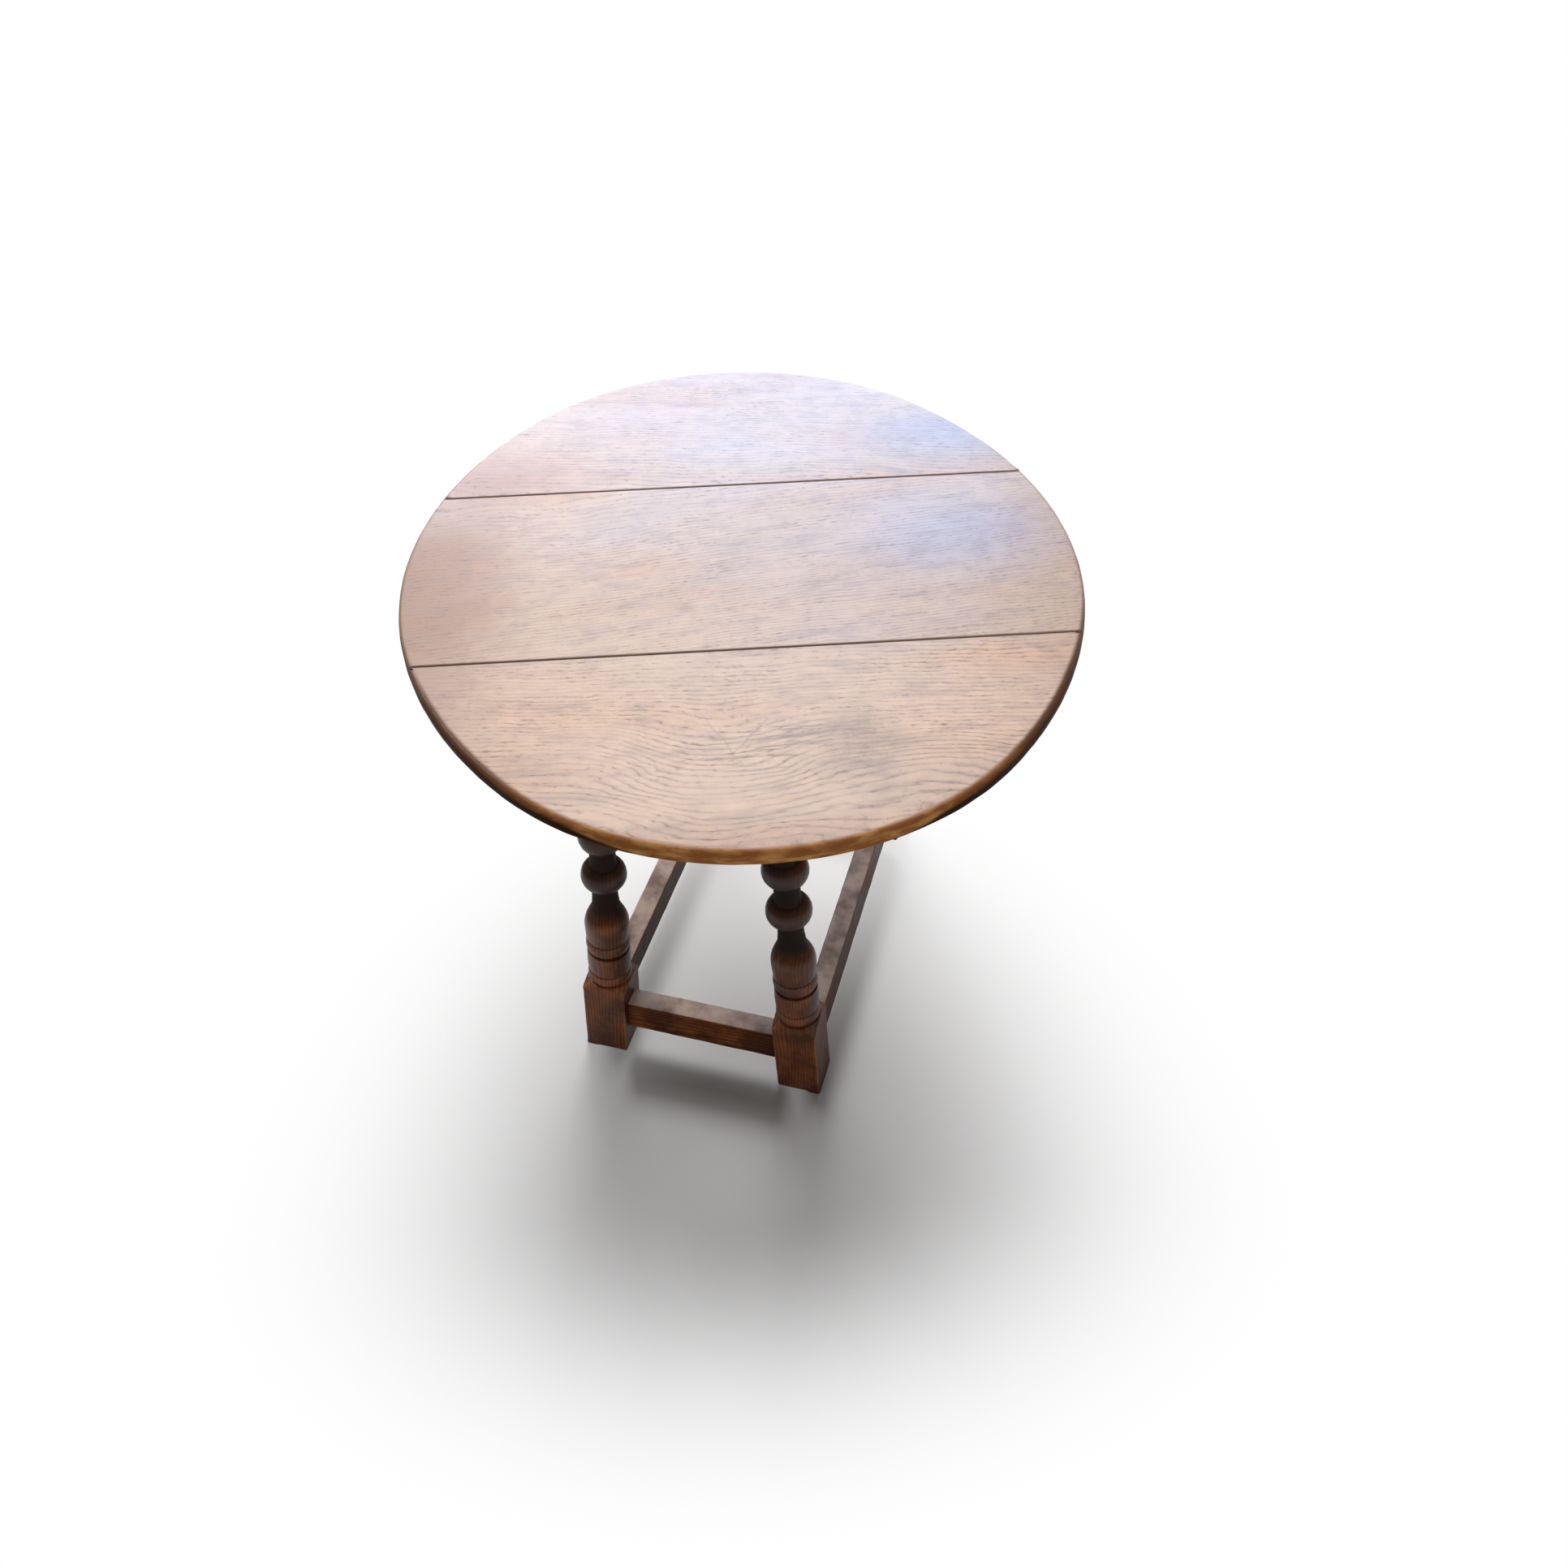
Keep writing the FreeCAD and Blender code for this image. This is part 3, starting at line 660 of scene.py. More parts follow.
def noiseOn(add, vector, waves, detail, roughness=0.5):  # waves per metre, each way or all alike
    if isinstance(waves, tuple):
        vector, waves = add("Mapping", {"Vector": vector, "Scale": waves}), 1
    return add("TexNoise", {"Vector": vector, "Scale": waves, "Detail": detail, "Roughness": roughness})


def poreWaves(look):  # waves per metre that leave pores of the look's length and width
    return 1 / look["poreLength"], 0.5 / look["poreWidth"], 0.5 / look["poreWidth"]


def heartDistance(add, grain, look):  # how far a point lies from the heart of its log, pushed by slow noise
    across = add("VectorMath MULTIPLY", (grain, (0, 1, 1)))
    straight = add("VectorMath LENGTH", (across,)).outputs["Value"]
    drift = noiseOn(add, grain, look["drift"], 3)
    return add("Math MULTIPLY_ADD", (drift, look["driftPush"], straight))


def ringPhase(add, distance, look):  # where a point lies between one growth ring and the next, 0 to 1
    count = add("Math MULTIPLY", (distance, 1 / look["ringWidth"]))
    return add("Math FRACT", (count,))


def farFrom(add, place, middle, size):  # distance from a middle, counted in sizes
    away = add("VectorMath SUBTRACT", (place, middle))
    away = add("VectorMath MULTIPLY", (away, [1 / length for length in size]))
    return add("VectorMath LENGTH", (away,)).outputs["Value"]


def offBy(add, value, middle):  # how much a value differs from the middle one, either way
    return add("Math ABSOLUTE", (add("Math SUBTRACT", (value, middle)),))


def laidOver(add, colour, layers):  # colours laid over the first in turn, each by its share
    for share, over, *blend in layers:
        colour = add("MixRGB", (share, colour, over), blend_type=blend[0] if blend else "MIX")
    return colour


def grainRelief(add, place, pores, rings, look):  # open pores and soft rings on a face that isn't quite even
    sunk = add("Math MULTIPLY", (pores, -1))
    sunk = add("Math MULTIPLY_ADD", (rings, -look["ringDepth"], sunk))
    fine = add("Bump", {"Height": sunk, "Distance": look["poreDepth"], "Strength": look["poreStrength"]})
    uneven = noiseOn(add, place, *look["dents"])
    return add("Bump", {"Height": uneven, "Distance": look["dentDepth"], "Strength": 0.35, "Normal": fine})


def brokenSheen(add, noise, masks, look):  # roughness: an uneven sheen, dulled under the masks
    dull = 0
    for mask in masks:
        dull = add("Math MAXIMUM", (dull, mask))
    sheen = add("MapRange", span(noise, *look["sheen"]))
    return laidOver(add, sheen, [(dull, [look["dullRough"]] * 3 + [1])])


def finished(material, add, sockets):  # gives the material its shader
    add("OutputMaterial", {"Surface": add("BsdfPrincipled", sockets)})
    return material


waxedLook = {
    "pale": "#C8AB93", "warm": "#CBA078", "cool": "#ACA09E", "dusk": "#8A6752", "streak": "#96807C",
    "ring": "#8C7068", "pore": "#5E473B", "grime": "#5A3D2C", "scuff": "#85797A",
    "rim": "#8E5A30", "rimWorn": "#BE8C54", "rimSide": "#6A4B38", "rimNear": "#5E3A22",
    # side is the painted shade on the rim's lower part, and the pore colour of the bare underside
    "side": "#2A1409", "under": "#8C6E54",
    "ringWidth": 0.0046,  # real rings are about 3 mm, drawn wider so that they show
    "poreWidth": 0.0010,  # real pores are 0.3 mm, drawn wider for the same reason
    "poreLength": 0.0075,
    # noises: waves per metre along and across the log, so that 28 and 160 are 36 and 6 mm, detail, roughness
    "drift": (2.6, 7, 7),
    "fibre": ((28, 160, 160), 2.5, 0.6),
    "waves": ((14, 30, 30), 2, 0.6),
    "thick": ((13, 35, 35), 2),
    "patches": ((3.4, 9, 9), 4, 0.6),
    "bands": ((18, 64, 64), 3, 0.65),
    "rimWear": ((38, 38, 160), 3, 0.6),
    "mottle": (60, 5, 0.7), "bend": (30, 2), "blotch": (120, 3, 0.6),
    # how far each noise pushes what it is added to
    "driftPush": 0.036, "wavePush": 0.009, "fibrePush": 0.0042, "ringPores": 0.17, "thickPores": 0.30,
    "spotPush": -1.2, "duskPush": 0.16, "grimePush": -0.0016, "rimPush": -0.0020, "rimShadePush": 0.002,
    # ramps: a level of the noise and the share it gives
    "ringStops": ((0, 1.0), (0.20, 0.35), (0.42, 0.02), (0.80, 0.10), (1, 1.0)),
    "poreStops": ((0.80, 0), (1.02, 0.60)),
    "warmStops": ((0.52, 0), (0.68, 0.75)),
    "coolStops": ((0.28, 0.45), (0.42, 0)),
    "streakStops": ((0.25, 0.90), (0.75, 1)),
    "bandStops": ((0.50, 0), (0.74, 0.60)),
    "brokenStops": ((0.32, 0.15), (0.62, 0.85)),
    "mottleStops": ((0.32, 0.84), (0.60, 1)),
    "webStops": ((0.64, 0), (0.71, 1)),
    "blotchStops": ((0.38, 0.10), (0.64, 0.65)),
    "rimStops": ((0.44, 0), (0.64, 0.9)),
    # fades: where each begins and ends, and the values there if they aren't 0 and 1
    "frontFade": (-0.23, -0.33, 0.55, 1),
    "spotFade": (-0.5, 0.45),
    "duskFade": (-0.20, -0.08, 0.6, 0),
    "grimeFade": (-0.0002, 0.0026, 0.75, 0),
    "markFade": (0.2, 1, 1, 0),
    "nearEnd": (-0.26, -0.35),
    "nearHalf": (-0.06, -0.20),
    "rimFade": (0.0026, -0.0006),
    "frontFall": (-0.330, -0.370, 0, 0.0085),
    "rimShadeFade": (0.0006, -0.0042),  # from here on as heights over the upper face
    "glossFade": (-0.0030, -0.0002, 0.06, 0.5),
    "coatFade": (-0.0020, -0.0002, 0, 0.30),
    "bareBelow": -0.0127,
    "swirls": (  # where the grain bends round a buried knot: middle, half size and how far it is pushed
        ((-0.030, -0.285), 0.120, 0.022), ((0.140, -0.300), 0.090, -0.010), ((-0.150, 0.045), 0.110, -0.008),
    ),
    "spotsAndGlare": (  # colour, middle and half size of each stained place, faded place and painted reflection, and how strong it is
        ("#E0C1AA", (0.030, -0.240), (0.420, 0.200), 0.42),
        ("#A5734F", (-0.285, -0.010), (0.110, 0.160), 0.80),
        ("#A86F52", (-0.240, 0.170), (0.140, 0.075), 0.75),
        ("#DBA878", (0.225, -0.165), (0.090, 0.035), 0.55),
        ("#E6C3A4", (0.190, -0.220), (0.150, 0.110), 0.55),
        ("#B98258", (-0.200, -0.290), (0.110, 0.060), 0.35),
        ("#AC7F60", (0.000, -0.375), (0.280, 0.045), 0.60),
        # the last three are painted reflections: the window's bluish glare on the middle board and far leaf,
        # and a paler glare at the far left
        ("#A5A2BC", (0.205, 0.030), (0.140, 0.100), 0.70),
        ("#9EA2C0", (0.230, 0.220), (0.120, 0.080), 0.65),
        ("#BCACAC", (-0.160, 0.280), (0.130, 0.080), 0.50),
    ),
    "seamY": 0.1350,
    "markDepth": 0.025,
    "scuffed": ((0.083, -0.262), (0.050, 0.066)),  # middle and half size
    "scratched": ((0.012, -0.240), (0.085, 0.080)),
    "web": ((35, 240), (-62, 210), (8, 260)),  # turn and waves per metre of each set of fine scratches
    "webLength": 16,
    "webShare": 0.7,
    "scratches": (((-0.045, -0.215), (-0.008, -0.290)), ((0.012, -0.225), (-0.030, -0.285)),
                  ((0.060, -0.205), (0.098, -0.232)), ((0.098, -0.232), (0.104, -0.275)),
                  ((0.020, -0.300), (0.070, -0.262))),
    "scratchFade": (0, 0.0014, 0.8, 0),  # from its middle line to its side
    "scratchEnds": (0.38, 0.5, 1, 0),  # from its middle to its ends, in lengths
    "scratchBend": 0.012,
    "rimWidening": -0.0045,
    "sheen": (0.3, 0.7, 0.36, 0.48),
    "dullRough": 0.72,
    "handledGloss": 0.2,
    "ringDepth": 0.35, "poreDepth": 0.00012, "poreStrength": 0.7,
    "dents": (9, 1), "dentDepth": 0.004,
}


def waxedOak(look):  # faded oak under old wax: open dark pores, soft rings, a satin gloss dulled by scuffs
    material, add = newMaterial("waxedOak")
    place = add("TexCoord").outputs["Object"]
    spot = add("SeparateXYZ", (place,)).outputs
    height = add("Math SUBTRACT", (spot["Z"], topSizes["height"]))
    grain = add("Attribute", attribute_name="grain").outputs["Vector"]
    # growth rings, bent round buried knots and made ragged by the fibres
    distance = heartDistance(add, grain, look)
    for middle, size, push in look["swirls"]:
        near = add("VectorMath DISTANCE", (place, (*middle, topSizes["height"])))
        bend = add("MapRange", span(near.outputs["Value"], 0, size, push, 0),
                   interpolation_type="SMOOTHERSTEP")
        distance = add("Math ADD", (distance, bend))
    fibre = noiseOn(add, grain, *look["fibre"])
    waves = noiseOn(add, grain, *look["waves"])
    distance = add("Math MULTIPLY_ADD", (waves, look["wavePush"], distance))
    ragged = add("Math MULTIPLY_ADD", (fibre, look["fibrePush"], distance))
    rings = add("ValToRGB", {"Fac": ringPhase(add, ragged, look)}, look["ringStops"])
    # open pores: short dark dashes along the grain, thick in the early wood
    log = add("SeparateXYZ", (grain,)).outputs
    followed = add("CombineXYZ", (log["X"], distance, log["Z"]))
    dashes = noiseOn(add, followed, poreWaves(look), 2, 0.6)
    dashes = add("Math MULTIPLY_ADD", (rings, look["ringPores"], dashes))
    thick = noiseOn(add, grain, *look["thick"])
    dashes = add("Math MULTIPLY_ADD", (thick, look["thickPores"], dashes))
    pores = add("ValToRGB", {"Fac": dashes}, look["poreStops"])
    # colour drifts slowly along each plank, warm in places and greyed in others
    patches = noiseOn(add, grain, *look["patches"])
    warmth = add("ValToRGB", {"Fac": patches}, look["warmStops"])
    coolness = add("ValToRGB", {"Fac": patches}, look["coolStops"])
    streaks = add("ValToRGB", {"Fac": fibre}, look["streakStops"])
    bands = add("ValToRGB", {"Fac": noiseOn(add, grain, *look["bands"])}, look["bandStops"])
    mottle = add("ValToRGB", {"Fac": noiseOn(add, place, *look["mottle"])}, look["mottleStops"])
    layers = [(warmth, look["warm"]), (coolness, look["cool"])]
    # stains and faded places, and painted reflections of the window's glare on the far half
    for colour, middle, size, share in look["spotsAndGlare"]:
        near = farFrom(add, place, (*middle, 0), (*size, math.inf))
        near = add("Math MULTIPLY_ADD", (patches, look["spotPush"], near))
        layers.append((add("MapRange", span(near, *look["spotFade"], share, 0), **softly), colour))
    # the rings stand out most at the front of the near leaf
    front = add("MapRange", span(spot["Y"], *look["frontFade"]), **softly)
    broken = add("ValToRGB", {"Fac": waves}, look["brokenStops"])
    ringShare = add("Math MULTIPLY", (rings, front))
    ringShare = add("Math MULTIPLY", (ringShare, broken))
    # browner towards the left ends, where less light has faded it
    leftward = add("Math MULTIPLY_ADD", (patches, look["duskPush"], spot["X"]))
    dusk = add("MapRange", span(leftward, *look["duskFade"]), **softly)
    # dirt drawn into the wood beside the two seams
    seamSide = offBy(add, add("Math ABSOLUTE", (spot["Y"],)), look["seamY"])
    seamSide = add("Math MULTIPLY_ADD", (fibre, look["grimePush"], seamSide))
    grimed = add("MapRange", span(seamSide, *look["grimeFade"]), **softly)
    # a dulled patch and a web of fine scratches on the near leaf
    marks = []
    for middle, size in (look["scuffed"], look["scratched"]):
        near = farFrom(add, place, (*middle, topSizes["height"]), (*size, look["markDepth"]))
        marks.append(add("MapRange", span(near, *look["markFade"]), **softly))
    web = 0
    for turn, fineness in look["web"]:
        lines = add("Mapping", {"Vector": place, "Rotation": (0, 0, math.radians(turn)),
                                "Scale": (look["webLength"], fineness, 1)})
        lines = add("ValToRGB", {"Fac": noiseOn(add, lines, 1, 1)}, look["webStops"])
        web = add("Math MAXIMUM", (lines, web))
    bent = noiseOn(add, place, *look["bend"])
    for start, end in look["scratches"]:
        way = Vector(end) - Vector(start)
        square = Vector((-way.y, way.x)).normalized()
        run = add("VectorMath SUBTRACT", (place, (*start, 0)))
        aside = add("VectorMath DOT_PRODUCT", (run, (*square, 0))).outputs["Value"]
        aside = add("Math MULTIPLY_ADD", (bent, look["scratchBend"], aside))
        drawn = add("MapRange", span(offBy(add, aside, look["scratchBend"] / 2), *look["scratchFade"]))
        run = add("VectorMath DOT_PRODUCT", (run, (*way / way.length_squared, 0)))
        within = add("MapRange", span(offBy(add, run.outputs["Value"], 0.5), *look["scratchEnds"]))
        line = add("Math MULTIPLY", (drawn, within))
        web = add("Math MAXIMUM", (line, web))
    blotch = add("ValToRGB", {"Fac": noiseOn(add, place, *look["blotch"])}, look["blotchStops"])
    scuffs = add("Math MULTIPLY", (marks[0], blotch))
    web = add("Math MULTIPLY", (web, marks[1]))
    web = add("Math MULTIPLY", (web, look["webShare"]))
    marked = add("Math MAXIMUM", (scuffs, web))
    # the rim: golden and worn on the near round, a thin brown line elsewhere, painted shade making its lower
    # part near black, bare oak underneath
    inset = add("Attribute", attribute_name="inset").outputs["Fac"]
    nearEnd = add("MapRange", span(spot["Y"], *look["nearEnd"]), **softly)
    nearHalf = add("MapRange", span(spot["Y"], *look["nearHalf"]), **softly)
    rimNoise = noiseOn(add, place, *look["rimWear"])
    rimWorn = add("ValToRGB", {"Fac": rimNoise}, look["rimStops"])
    golden = laidOver(add, look["rim"], [(rimWorn, look["rimWorn"])])
    rim = laidOver(add, look["rimSide"], [(nearHalf, look["rimNear"]), (nearEnd, golden)])
    reach = add("Math MULTIPLY_ADD", (nearHalf, look["rimWidening"], inset))
    reach = add("Math MULTIPLY_ADD", (rimNoise, look["rimPush"], reach))
    onRim = add("MapRange", span(reach, *look["rimFade"]))
    # painted shade: the rim's lower part goes near black, in a narrower band at the front middle
    fall = add("MapRange", span(spot["Y"], *look["frontFall"]), **softly)
    fallen = add("Math ADD", (height, fall))
    fallen = add("Math MULTIPLY_ADD", (rimNoise, look["rimShadePush"], fallen))
    paintedRimShade = add("MapRange", span(fallen, *look["rimShadeFade"]), **softly)
    bare = add("Math LESS_THAN", (height, look["bareBelow"]))
    under = laidOver(add, look["under"], [(ringShare, look["dusk"]), (pores, look["side"])])
    layers += [(bands, look["streak"]), (ringShare, look["ring"]),
               (1, streaks, "MULTIPLY"), (1, mottle, "MULTIPLY"),
               (dusk, look["dusk"]), (pores, look["pore"]), (grimed, look["grime"]), (marked, look["scuff"]),
               (onRim, rim), (paintedRimShade, look["side"]), (bare, under)]
    # gloss: wax gives it, pores, scuffs and the bare underside break it, and hands have dulled the near rim
    handled = add("Math MULTIPLY", (onRim, nearHalf))
    handled = add("MapRange", span(handled, 0, 1, 1, look["handledGloss"]))
    gloss, coat = [
        add("Math MULTIPLY", (add("MapRange", span(height, *look[fade])), handled))
        for fade in ("glossFade", "coatFade")]
    return finished(material, add, {
        "Base Color": laidOver(add, look["pale"], layers),
        "Roughness": brokenSheen(add, patches, (pores, marked, bare), look),
        "Normal": grainRelief(add, place, pores, rings, look),
        "IOR": 1.5, "Specular IOR Level": gloss, "Coat Weight": coat, "Coat Roughness": 0.28})


stainedLook = {
    "brown": "#59331F", "red": "#8E522D", "dark": "#1B120D", "sootAndShade": "#201A18", "pore": "#120C09",
    "rubbed": "#9A6A45", "chip": "#C9A27A", "dustAndSheen": "#CAB6A8",
    "ringWidth": 0.0034, "poreWidth": 0.0008, "poreLength": 0.014,
    "drift": (4, 22, 22),  # waves per metre along and across the log
    "cloud": (26, 4, 0.6),
    "driftPush": 0.022,
    "ringPores": 0.14,
    "ringShare": 0.55,
    "hollowShare": 0.95,
    "ringStops": ((0, 0.9), (0.3, 0.45), (0.6, 0), (1, 0.9)),
    "poreStops": ((0.66, 0), (0.86, 0.50)),
    "redStops": ((0.42, 0), (0.62, 0.95)),
    "rubStops": ((0.40, 0.15), (0.62, 0.8)),
    # fades: where each begins and ends, and the values there if they aren't 0 and 1
    "topShadeFade": (0.20, 0.232, 0, 0.80),  # heights over the floor
    "flankShadeFade": (0.80, 0.97, 0, 0.75),
    "edgeShadeFade": (0.25, 0.9, 0, 0.6),
    "faceUp": (0.55, 0.95),
    "trodden": (0.36, 0.60, 0.35, 0.95),
    "sheen": (0.3, 0.7, 0.30, 0.45),
    "gloss": (0, 1, 0.04, 0.26),
    "dullRough": 0.6,
    "dustTop": 0.075,
    "flankWay": (0.943, -0.334, 0),  # across the frame
    "chipPlace": (-0.185, -0.163, 0.014), "chipSize": 0.0055,
    "ringDepth": 0.4, "poreDepth": 0.0001, "poreStrength": 0.6,
    "dents": (90, 2), "dentDepth": 0.0008,
}


def stainedOak(look):  # oak stained dark and polished: near black where hands and cloths never reach, with painted shade on the upper turning, the flanks and the outlines
    material, add = newMaterial("stainedOak")
    place = add("TexCoord").outputs["Object"]
    height = add("SeparateXYZ", (place,)).outputs["Z"]
    grain = add("Attribute", attribute_name="grain").outputs["Vector"]
    hollow, rub, polish = [add("Attribute", attribute_name=name).outputs["Fac"]
                           for name in ("hollow", "rub", "polish")]
    rings = ringPhase(add, heartDistance(add, grain, look), look)
    rings = add("ValToRGB", {"Fac": rings}, look["ringStops"])
    dashes = noiseOn(add, grain, poreWaves(look), 1.5)
    dashes = add("Math MULTIPLY_ADD", (rings, look["ringPores"], dashes))
    pores = add("ValToRGB", {"Fac": dashes}, look["poreStops"])
    cloud = noiseOn(add, place, *look["cloud"])
    ruddy = add("ValToRGB", {"Fac": cloud}, look["redStops"])
    ringShare = add("Math MULTIPLY", (rings, look["ringShare"]))
    # arrises rubbed paler by feet and dusters, in patches
    rubbed = add("ValToRGB", {"Fac": cloud}, look["rubStops"])
    rubbed = add("Math MULTIPLY", (rub, rubbed))
    # old polish and dust gone black in the hollows, and painted shade from the top above that turns all of
    # the upper turning near black
    topShade = add("MapRange", span(height, *look["topShadeFade"]), **softly)
    sootAndTopShade = add("Math MULTIPLY", (hollow, look["hollowShare"]))
    sootAndTopShade = add("Math MAXIMUM", (sootAndTopShade, topShade))
    # painted shade: the flanks that face left and right are blacker, and every piece darkens where its
    # surface turns away from view
    normal = add("NewGeometry").outputs["Normal"]
    flankShade = add("VectorMath DOT_PRODUCT", (normal, look["flankWay"])).outputs["Value"]
    flankShade = add("Math ABSOLUTE", (flankShade,))
    flankShade = add("MapRange", span(flankShade, *look["flankShadeFade"]))
    edge = add("LayerWeight", {"Blend": 0.4}).outputs["Facing"]
    edge = add("MapRange", span(edge, *look["edgeShadeFade"]))
    paintedShade = add("Math MAXIMUM", (flankShade, edge))
    away = add("VectorMath DISTANCE", (place, look["chipPlace"])).outputs["Value"]
    chipped = add("Math LESS_THAN", (away, look["chipSize"]))
    # the upper faces of the stretchers, scuffed by shoes and greyed by dust, and also painted paler as sheen
    upperFaceDustAndSheen = add("MapRange", span(add("SeparateXYZ", (normal,)).outputs["Z"], *look["faceUp"]))
    low = add("Math LESS_THAN", (height, look["dustTop"]))
    for share in (low, add("MapRange", span(cloud, *look["trodden"]))):
        upperFaceDustAndSheen = add("Math MULTIPLY", (upperFaceDustAndSheen, share))
    # dark gives both the rings and the painted shade; sootAndShade gives the soot in the hollows and the
    # painted shade on the upper turning
    wood = laidOver(add, look["brown"], [
        (ruddy, look["red"]), (ringShare, look["dark"]), (pores, look["pore"]), (rubbed, look["rubbed"]),
        (sootAndTopShade, look["sootAndShade"]), (paintedShade, look["dark"]), (chipped, look["chip"]), (upperFaceDustAndSheen, look["dustAndSheen"])])
    return finished(material, add, {
        "Base Color": wood, "Roughness": brokenSheen(add, cloud, (pores, hollow), look),
        "Normal": grainRelief(add, place, pores, rings, look),
        "IOR": 1.5, "Specular IOR Level": add("MapRange", span(polish, *look["gloss"]))})


bareLook = {
    "pale": "#9B7650", "dark": "#6C4D33", "pore": "#3B281A",
    "turn": 20, "logPlace": (0, 0.03, -0.43),
    "ringWidth": 0.0036,
    "drift": (5, 24, 24), "driftPush": 0.02,
    "dashes": (60, 600, 600),
    "poreStops": ((0.56, 0), (0.68, 1)),
}


def bareOak(look):  # sawn oak that was never polished: matt, dusty brown, with dry open pores
    material, add = newMaterial("bareOak")
    place = add("TexCoord").outputs["Object"]
    grain = add("Mapping", {"Vector": place, "Rotation": (0, 0, math.radians(look["turn"])),
                            "Location": look["logPlace"]})
    rings = ringPhase(add, heartDistance(add, grain, look), look)
    dashes = noiseOn(add, grain, look["dashes"], 1.5)
    pores = add("ValToRGB", {"Fac": dashes}, look["poreStops"])
    wood = laidOver(add, look["pale"], [(rings, look["dark"]), (pores, look["pore"])])
    relief = add("Bump", {"Height": dashes, "Distance": 0.0003, "Strength": 0.5})
    return finished(material, add, {"Base Color": wood, "Roughness": 0.78, "Normal": relief, "IOR": 1.5})


steels = {  # mild steel by use: its tone, its rust and the noise level where that starts, freckles per metre
    "hingeSteel": {"steel": "#8E8880", "rust": "#5B3A26", "rustFrom": 0.735, "rough": 0.46, "freckles": 320},
    "screwSteel": {"steel": "#7C766E", "rust": "#4A3022", "rustFrom": 0.750, "rough": 0.40, "freckles": 500},
    "boltSteel": {"steel": "#9A958D", "rust": "#6A4630", "rustFrom": 0.795, "rough": 0.42, "freckles": 260},
}


def dulledSteel(name, look):  # forged or pressed mild steel, oiled once, dulled and freckled with rust
    material, add = newMaterial(name)
    place = add("TexCoord").outputs["Object"]
    freckles = noiseOn(add, place, look["freckles"], 4, 0.65)
    cloud = noiseOn(add, place, 60, 2)
    rusty = add("Math ADD", (freckles, cloud))
    rusty = add("Math MULTIPLY", (rusty, 0.8))
    rusty = add("ValToRGB", {"Fac": rusty}, ((look["rustFrom"], 0), (1, 1)))
    tone = laidOver(add, look["steel"], [(rusty, look["rust"])])
    metal = add("Math SUBTRACT", (1, rusty))
    rough = add("MapRange", span(rusty, 0, 1, look["rough"], 0.8))
    relief = add("Bump", {"Height": freckles, "Distance": 0.00008, "Strength": 0.5})
    return finished(material, add, {"Base Color": tone, "Metallic": metal, "Roughness": rough,
                                    "Normal": relief})


finishes = {"waxed": waxedOak(waxedLook), "stained": stainedOak(stainedLook), "bare": bareOak(bareLook)}
for name, look in steels.items():
    finishes[name] = dulledSteel(name, look)


def finishOf(name):
    if name.endswith("Board"):
        return "waxed"
    if name in ("pivot_bearer", "pivot_cleat"):
        return "bare"
    if "screws" in name:
        return "screwSteel"
    if "hinge" in name:
        return "hingeSteel"
    if "bolt" in name or "washer" in name or "nut" in name:
        return "boltSteel"
    return "stained"


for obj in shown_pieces():
    obj.data.materials.clear()
    obj.data.materials.append(finishes[finishOf(obj.name)])
print("finishes given")


# Camera, light and floor

cameraView = {
    "place": (-0.0298, -1.0860, 1.2186),
    "yaw": 0.0533, "pitch": 0.7417, "roll": -0.0220,
    "lens": 32.07, "sensor": 36, "shiftX": 0.00494, "shiftY": 0.00099,
    "nearest": 0.05, "farthest": 30,
}


def addCamera(view):
    yaw, pitch, roll = view["yaw"], view["pitch"], view["roll"]
    forward = Vector((math.sin(yaw) * math.cos(pitch), math.cos(yaw) * math.cos(pitch), -math.sin(pitch)))
    level = Vector((math.cos(yaw), -math.sin(yaw), 0))
    plumb = level.cross(forward)
    right = level * math.cos(roll) + plumb * math.sin(roll)
    up = plumb * math.cos(roll) - level * math.sin(roll)
    data = bpy.data.cameras.new("camera")
    data.sensor_width, data.lens = view["sensor"], view["lens"]
    data.shift_x, data.shift_y = view["shiftX"], view["shiftY"]
    data.clip_start, data.clip_end = view["nearest"], view["farthest"]
    camera = bpy.data.objects.new("camera", data)
    bpy.context.scene.collection.objects.link(camera)
    turn = Matrix((right, up, -forward)).transposed().to_4x4()
    camera.matrix_world = Matrix.Translation(view["place"]) @ turn
    bpy.context.scene.camera = camera


addCamera(cameraView)

surroundings = {"ambient": 0.26, "white": 1.0}  # what lights the table, and what camera and reflections see
world = bpy.data.worlds.new("whiteRoom")
bpy.context.scene.world = world
world.use_nodes = True
world.node_tree.nodes.clear()
addSky = functools.partial(addNode, world.node_tree)
rays = addSky("LightPath").outputs
seen = addSky("Math MAXIMUM", (rays["Is Camera Ray"], rays["Is Glossy Ray"]))
seen = addSky("Math MAXIMUM", (seen, rays["Is Transmission Ray"]))
strength = addSky("MapRange", span(seen, 0, 1, surroundings["ambient"], surroundings["white"]))
glow = addSky("Background", {"Color": (1, 1, 1, 1), "Strength": strength})
addSky("OutputWorld", {"Surface": glow})

floorLook = {
    "size": 16,
    "paintedShadowMiddle": (-0.014, -0.325, 0),  # middle of the painted shadow: a grey pool under the table that fades to white
    "paintedShadowWidth": 0.575, "paintedShadowFront": 0.363, "paintedShadowBack": 0.801,
    "core": 0.139,
    "shadowGrey": "#AFAEAE", "white": "#F6F6F6",
}


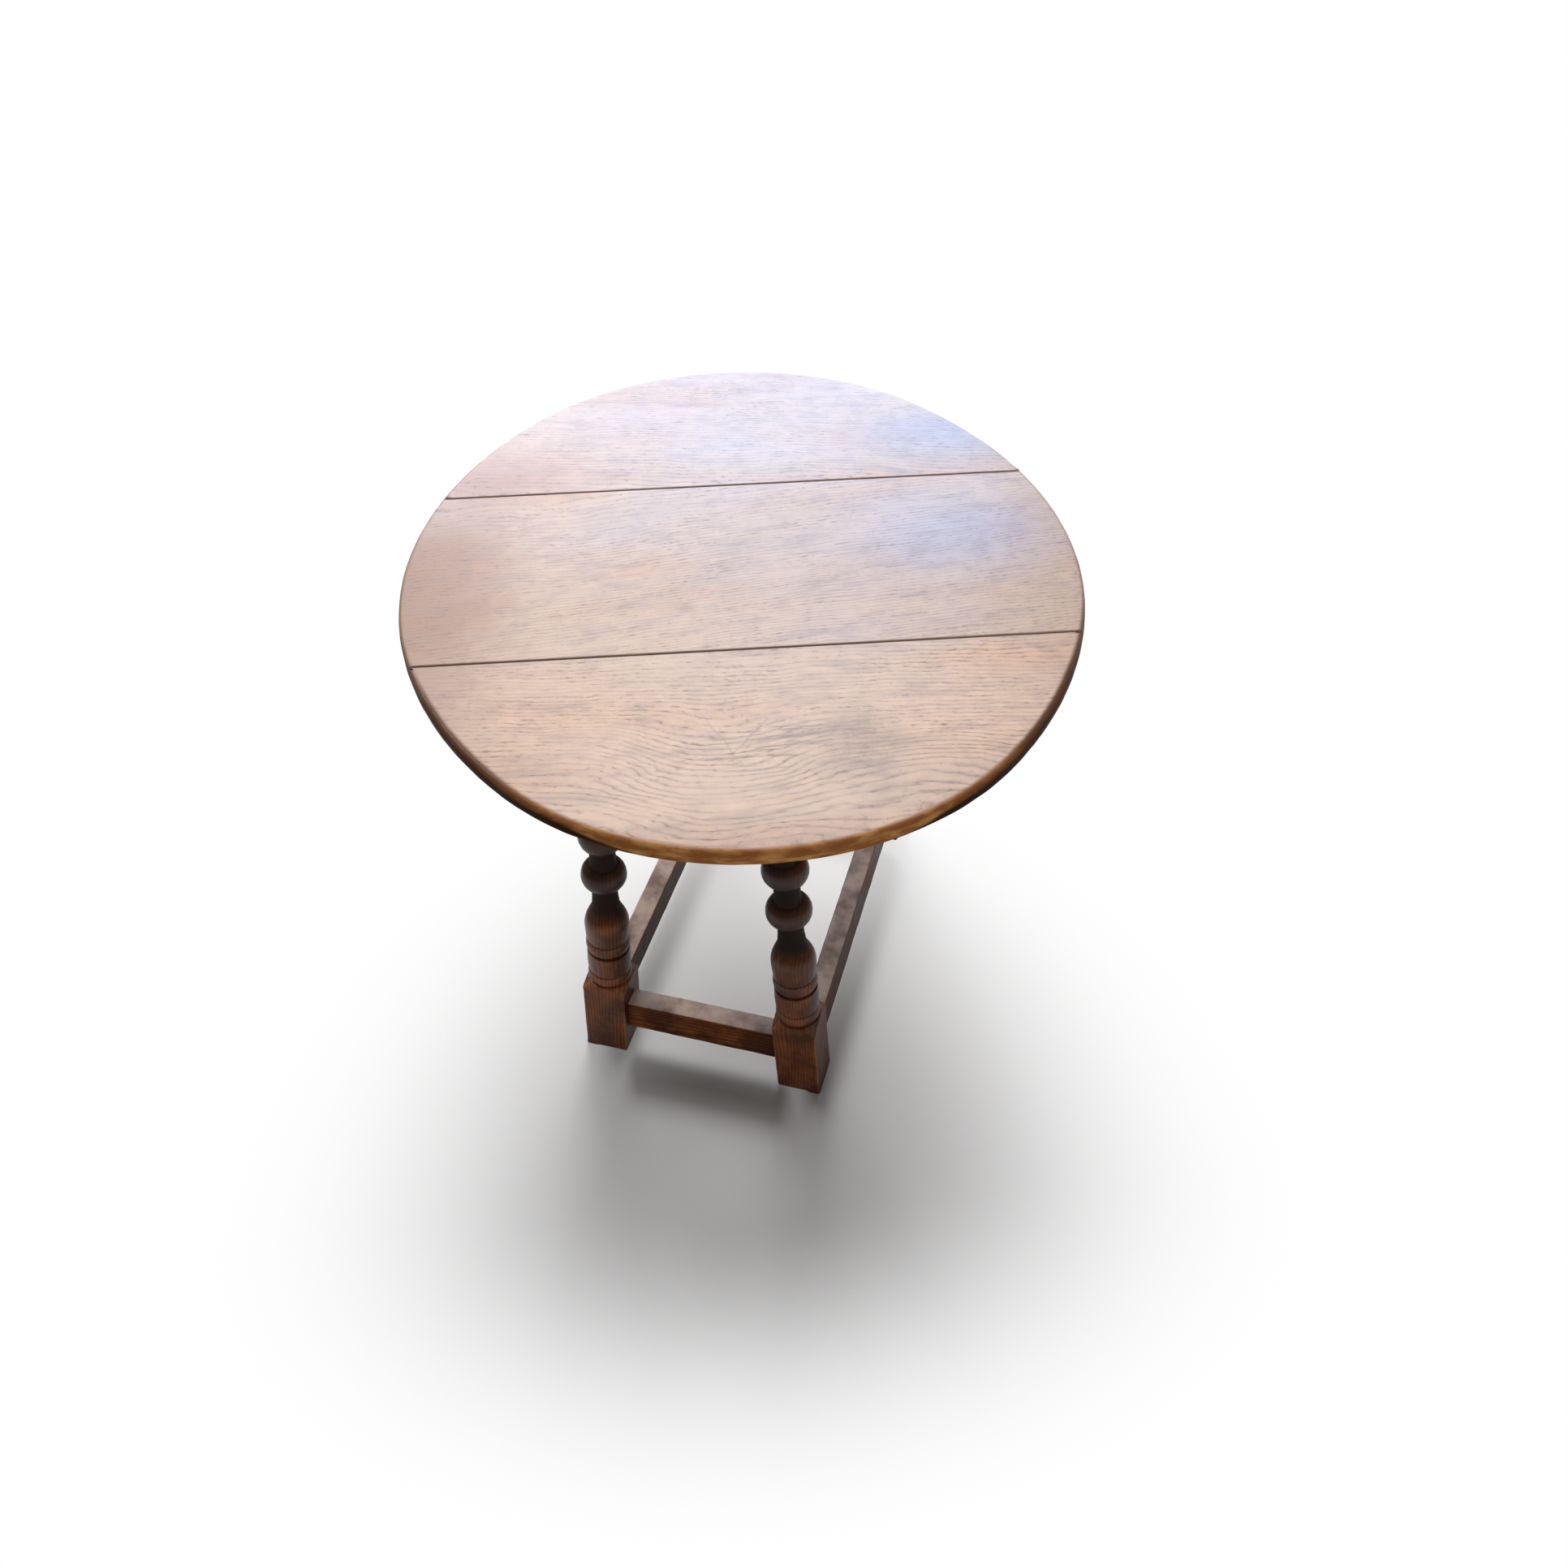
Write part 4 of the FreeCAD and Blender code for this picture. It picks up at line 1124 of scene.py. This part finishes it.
def addFloor(look):
    bpy.ops.object.select_all(action="DESELECT")
    bpy.ops.mesh.primitive_plane_add(size=look["size"], location=(0, 0, 0))
    floor = bpy.context.active_object
    floor.name = "studioFloor"
    floor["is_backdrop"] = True
    material, add = newMaterial("studioPaper")
    place = add("TexCoord").outputs["Object"]
    away = add("VectorMath SUBTRACT", (place, look["paintedShadowMiddle"]))
    parts = add("SeparateXYZ", (away,)).outputs
    across, ahead, behind = [
        add("Math MULTIPLY", (parts[axis], 1 / look[reach]))
        for axis, reach in (("X", "paintedShadowWidth"), ("Y", "paintedShadowFront"), ("Y", "paintedShadowBack"))]
    outward = add("Math MINIMUM", (ahead, behind))
    away = add("CombineXYZ", (across, outward))
    away = add("VectorMath LENGTH", (away,)).outputs["Value"]
    # painted shadow: the paper is grey in the pool and white beyond it
    fade = add("MapRange", span(away, look["core"], 1), **softly)
    paper = add("BsdfDiffuse", {"Color": laidOver(add, look["shadowGrey"], [(fade, look["white"])])})
    bright = add("Emission", {"Color": (1, 1, 1, 1), "Strength": 1})
    rays = add("LightPath").outputs
    seen = add("Math MAXIMUM", (rays["Is Camera Ray"], rays["Is Glossy Ray"]))
    share = add("Math MULTIPLY", (seen, fade))
    add("OutputMaterial", {"Surface": add("MixShader", (share, paper, bright))})
    floor.data.materials.append(material)
    return floor


lights = {  # place, aim, colour, size, watts and the pieces that shade it
    "behindLeft": ((-1.55, 1.35, 2.35), (0, 0, 0.2), "#FFF6EC", (0.55, 0.55), 32, ()),
    "mainBehind": ((-0.05, 1.45, 2.45), (0, 0, 0.4), "#FFF1E2", (1.3, 0.9), 26, ()),
    "window": ((0.30, 2.50, 1.55), (0.05, 0.1, 0.5), "#A2CCFF", (1.2, 0.8), 28, ()),
    "wallLeft": ((-0.66, 2.50, 1.50), (-0.1, 0.1, 0.4), "#E8ECFF", (0.6, 0.6), 12, ()),
    "front": ((1.1, -2.1, 1.7), (0, -0.1, 0.3), "#FFF2E6", (1.2, 0.9), 11, ()),
    # these light the floor alone, and those above the table alone
    "lowShade": ((-0.02, 2.10, 2.20), (0, -0.24, 0), "#FFFFFF", (0.75, 0.75), 40, ("Stretcher",)),
    "legShade": ((-0.02, 2.10, 2.20), (0, -0.24, 0), "#FFFFFF", (0.75, 0.75), 24, ("Stretcher", "Leg")),
    "footShade": ((-0.02, 2.10, 2.20), (0, -0.24, 0), "#FFFFFF", (2.0, 2.0), 56, ("Stretcher", "Leg")),
}


def gather(name, objs):  # a collection for lamps to refer to
    made = bpy.data.collections.new(name)
    for obj in objs:
        made.objects.link(obj)
    return made


def addLamp(name, place, aim, colour, size, watts, shadedBy):
    data = bpy.data.lights.new(name, "AREA")
    data.shape = "RECTANGLE"
    data.size, data.size_y = size
    data.energy = watts
    data.color = hexColour(colour)[:3]
    lamp = bpy.data.objects.new(name, data)
    bpy.context.scene.collection.objects.link(lamp)
    lamp.location = place
    lamp.rotation_euler = (Vector(aim) - Vector(place)).to_track_quat("-Z", "Y").to_euler()
    lamp.light_linking.receiver_collection = floorPieces if shadedBy else tablePieces
    if shadedBy:
        shades = [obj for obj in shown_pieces() if any(word in obj.name for word in shadedBy)]
        lamp.light_linking.blocker_collection = gather(name + "Shades", shades)


tablePieces = gather("tablePieces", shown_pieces())
floorPieces = gather("floorPieces", [addFloor(floorLook)])
for name, light in lights.items():
    addLamp(name, *light)
bpy.context.scene.view_settings.view_transform = "Standard"
print("camera, floor and", len(lights), "lamps in place")
